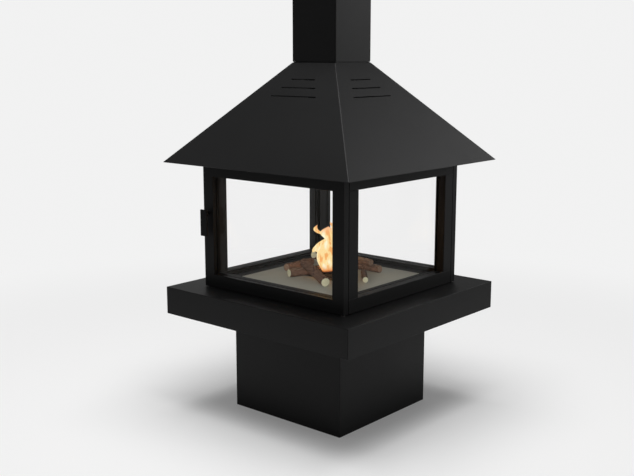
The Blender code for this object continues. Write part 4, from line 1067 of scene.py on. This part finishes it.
# %% Floor and backdrop
BACKDROP = 0.885
FLOOR_RADIUS = 14.0
FLOOR_LEVEL = -0.0005
FLOOR_SIDES = 64
LIFT = 0.14
WHITE = (1.0, 1.0, 1.0, 1.0)
rings = np.array([0.5, 1.0, 2.0, 3.5, 6.0, FLOOR_RADIUS])
angle = np.linspace(0.0, 2 * math.pi, FLOOR_SIDES, endpoint=False)
floor_points = np.stack([np.outer(rings, np.cos(angle)), np.outer(rings, np.sin(angle)),
                         np.full((len(rings), FLOOR_SIDES), FLOOR_LEVEL)], axis=-1).reshape(-1, 3)
floor_faces = grid_faces(len(rings), FLOOR_SIDES).tolist()
floor_faces += [[len(floor_points), i, (i + 1) % FLOOR_SIDES] for i in range(FLOOR_SIDES)]
floor_mesh = bpy.data.meshes.new("studio_floor")
floor_mesh.from_pydata([*floor_points.tolist(), (0.0, 0.0, FLOOR_LEVEL)], [], floor_faces)
floor = bpy.data.objects.new("studio_floor", floor_mesh)
scene.collection.objects.link(floor)

ground = Finish("studio_floor", (0.80, 0.80, 0.80), 0.9, specular=0.0)
direct = ground.node("ShaderNodeLightPath", out="Is Camera Ray")
glossy = ground.node("ShaderNodeLightPath", out="Is Glossy Ray")
apart = ground.node("ShaderNodeVectorMath", {"operation": "LENGTH"}, {0: ground.place()}, "Value")
fade = ground.ramp(apart, 1.1, 3.4)
seen = (direct + glossy * 0.5).clipped()
lit = ground.node("ShaderNodeEmission", None, {"Color": WHITE, "Strength": seen * LIFT})
plain = ground.node("ShaderNodeEmission", None, {"Color": WHITE, "Strength": seen * BACKDROP})
both = ground.node("ShaderNodeAddShader", None, {0: Wire(ground, ground.shader.outputs[0]), 1: lit})
last = ground.node("ShaderNodeMixShader", None, {0: fade, 1: both, 2: plain})
ground.plug(ground.output.inputs["Surface"], last)
floor_mesh.materials.append(ground.material)

# %% [markdown]
# ## Light
#
# A large soft box overhead gives the soft shadow under the slab, and a weak one stands on the left. Two
# white cards stand behind, because black paint shows its shape by what it mirrors. Diffuse rays don't
# see them, so the shadow stays. The hood keeps the top light out of the firebox, so a fill is linked to
# the hearth and the logs only. The world is low, and only the camera sees it as the pale backdrop.


# %% Soft boxes, world light and the fire's own glow
def soft_box(name, place, size, power, target=(0.0, 0.0, 0.8)):
    """A square area light that faces its target."""
    light = bpy.data.lights.new(name, "AREA")
    light.shape = "SQUARE"
    light.size = size
    light.energy = power
    lamp = bpy.data.objects.new(name, light)
    lamp.location = place
    way = np.asarray(target) - np.asarray(place)
    bearing = math.atan2(way[1], way[0])
    dip = math.atan2(-way[2], math.hypot(way[0], way[1]))
    lamp.rotation_euler = (math.radians(90) - dip, 0.0, bearing - math.radians(90))
    scene.collection.objects.link(lamp)
    return lamp


soft_box("top_light", (0.3, -0.5, 7.0), 4.6, 425.0)
soft_box("left_light", (-3.4, -1.6, 3.2), 2.4, 3.0)
right_card = soft_box("right_card", (2.5, 3.7, 2.8), 3.6, 84.0)
back_card = soft_box("back_card", (-4.2, 3.4, 1.7), 4.0, 16.0, (0.0, 0.0, 0.5))
for card in (right_card, back_card):
    card.visible_diffuse = False
fill = soft_box("firebox_fill", (2.3, -2.9, 1.8), 1.4, 80.0, (0.0, 0.0, 0.6))
inside = bpy.data.collections.new("lit_by_firebox_fill")
for item in scene.objects:
    if item.type == "MESH" and item.data.materials and item.data.materials[0] in (FIRECLAY, FIREWOOD):
        inside.objects.link(item)
fill.light_linking.receiver_collection = inside

glow = bpy.data.lights.new("fire_glow", "POINT")
glow.energy = 1.4
glow.color = (1.0, 0.52, 0.20)
glow.shadow_soft_size = 0.04
glow_lamp = bpy.data.objects.new("fire_glow", glow)
glow_lamp.location = (-0.02, -0.02, HEARTH_TOP + 0.08)
scene.collection.objects.link(glow_lamp)

AMBIENT = 0.20
world = bpy.data.worlds.new("studio")
world.use_nodes = True
scene.world = world
tree = world.node_tree
background = tree.nodes["Background"]
rays = tree.nodes.new("ShaderNodeLightPath")
seen_by = tree.nodes.new("ShaderNodeMath")
seen_by.operation = "MAXIMUM"
for index, ray in enumerate(("Is Camera Ray", "Is Transmission Ray")):
    tree.links.new(rays.outputs[ray], seen_by.inputs[index])
level = tree.nodes.new("ShaderNodeMapRange")
tree.links.new(seen_by.outputs[0], level.inputs["Value"])
level.inputs["To Min"].default_value = AMBIENT
level.inputs["To Max"].default_value = BACKDROP
tree.links.new(level.outputs[0], background.inputs["Strength"])
background.inputs["Color"].default_value = WHITE

scene.view_settings.view_transform = "Standard"
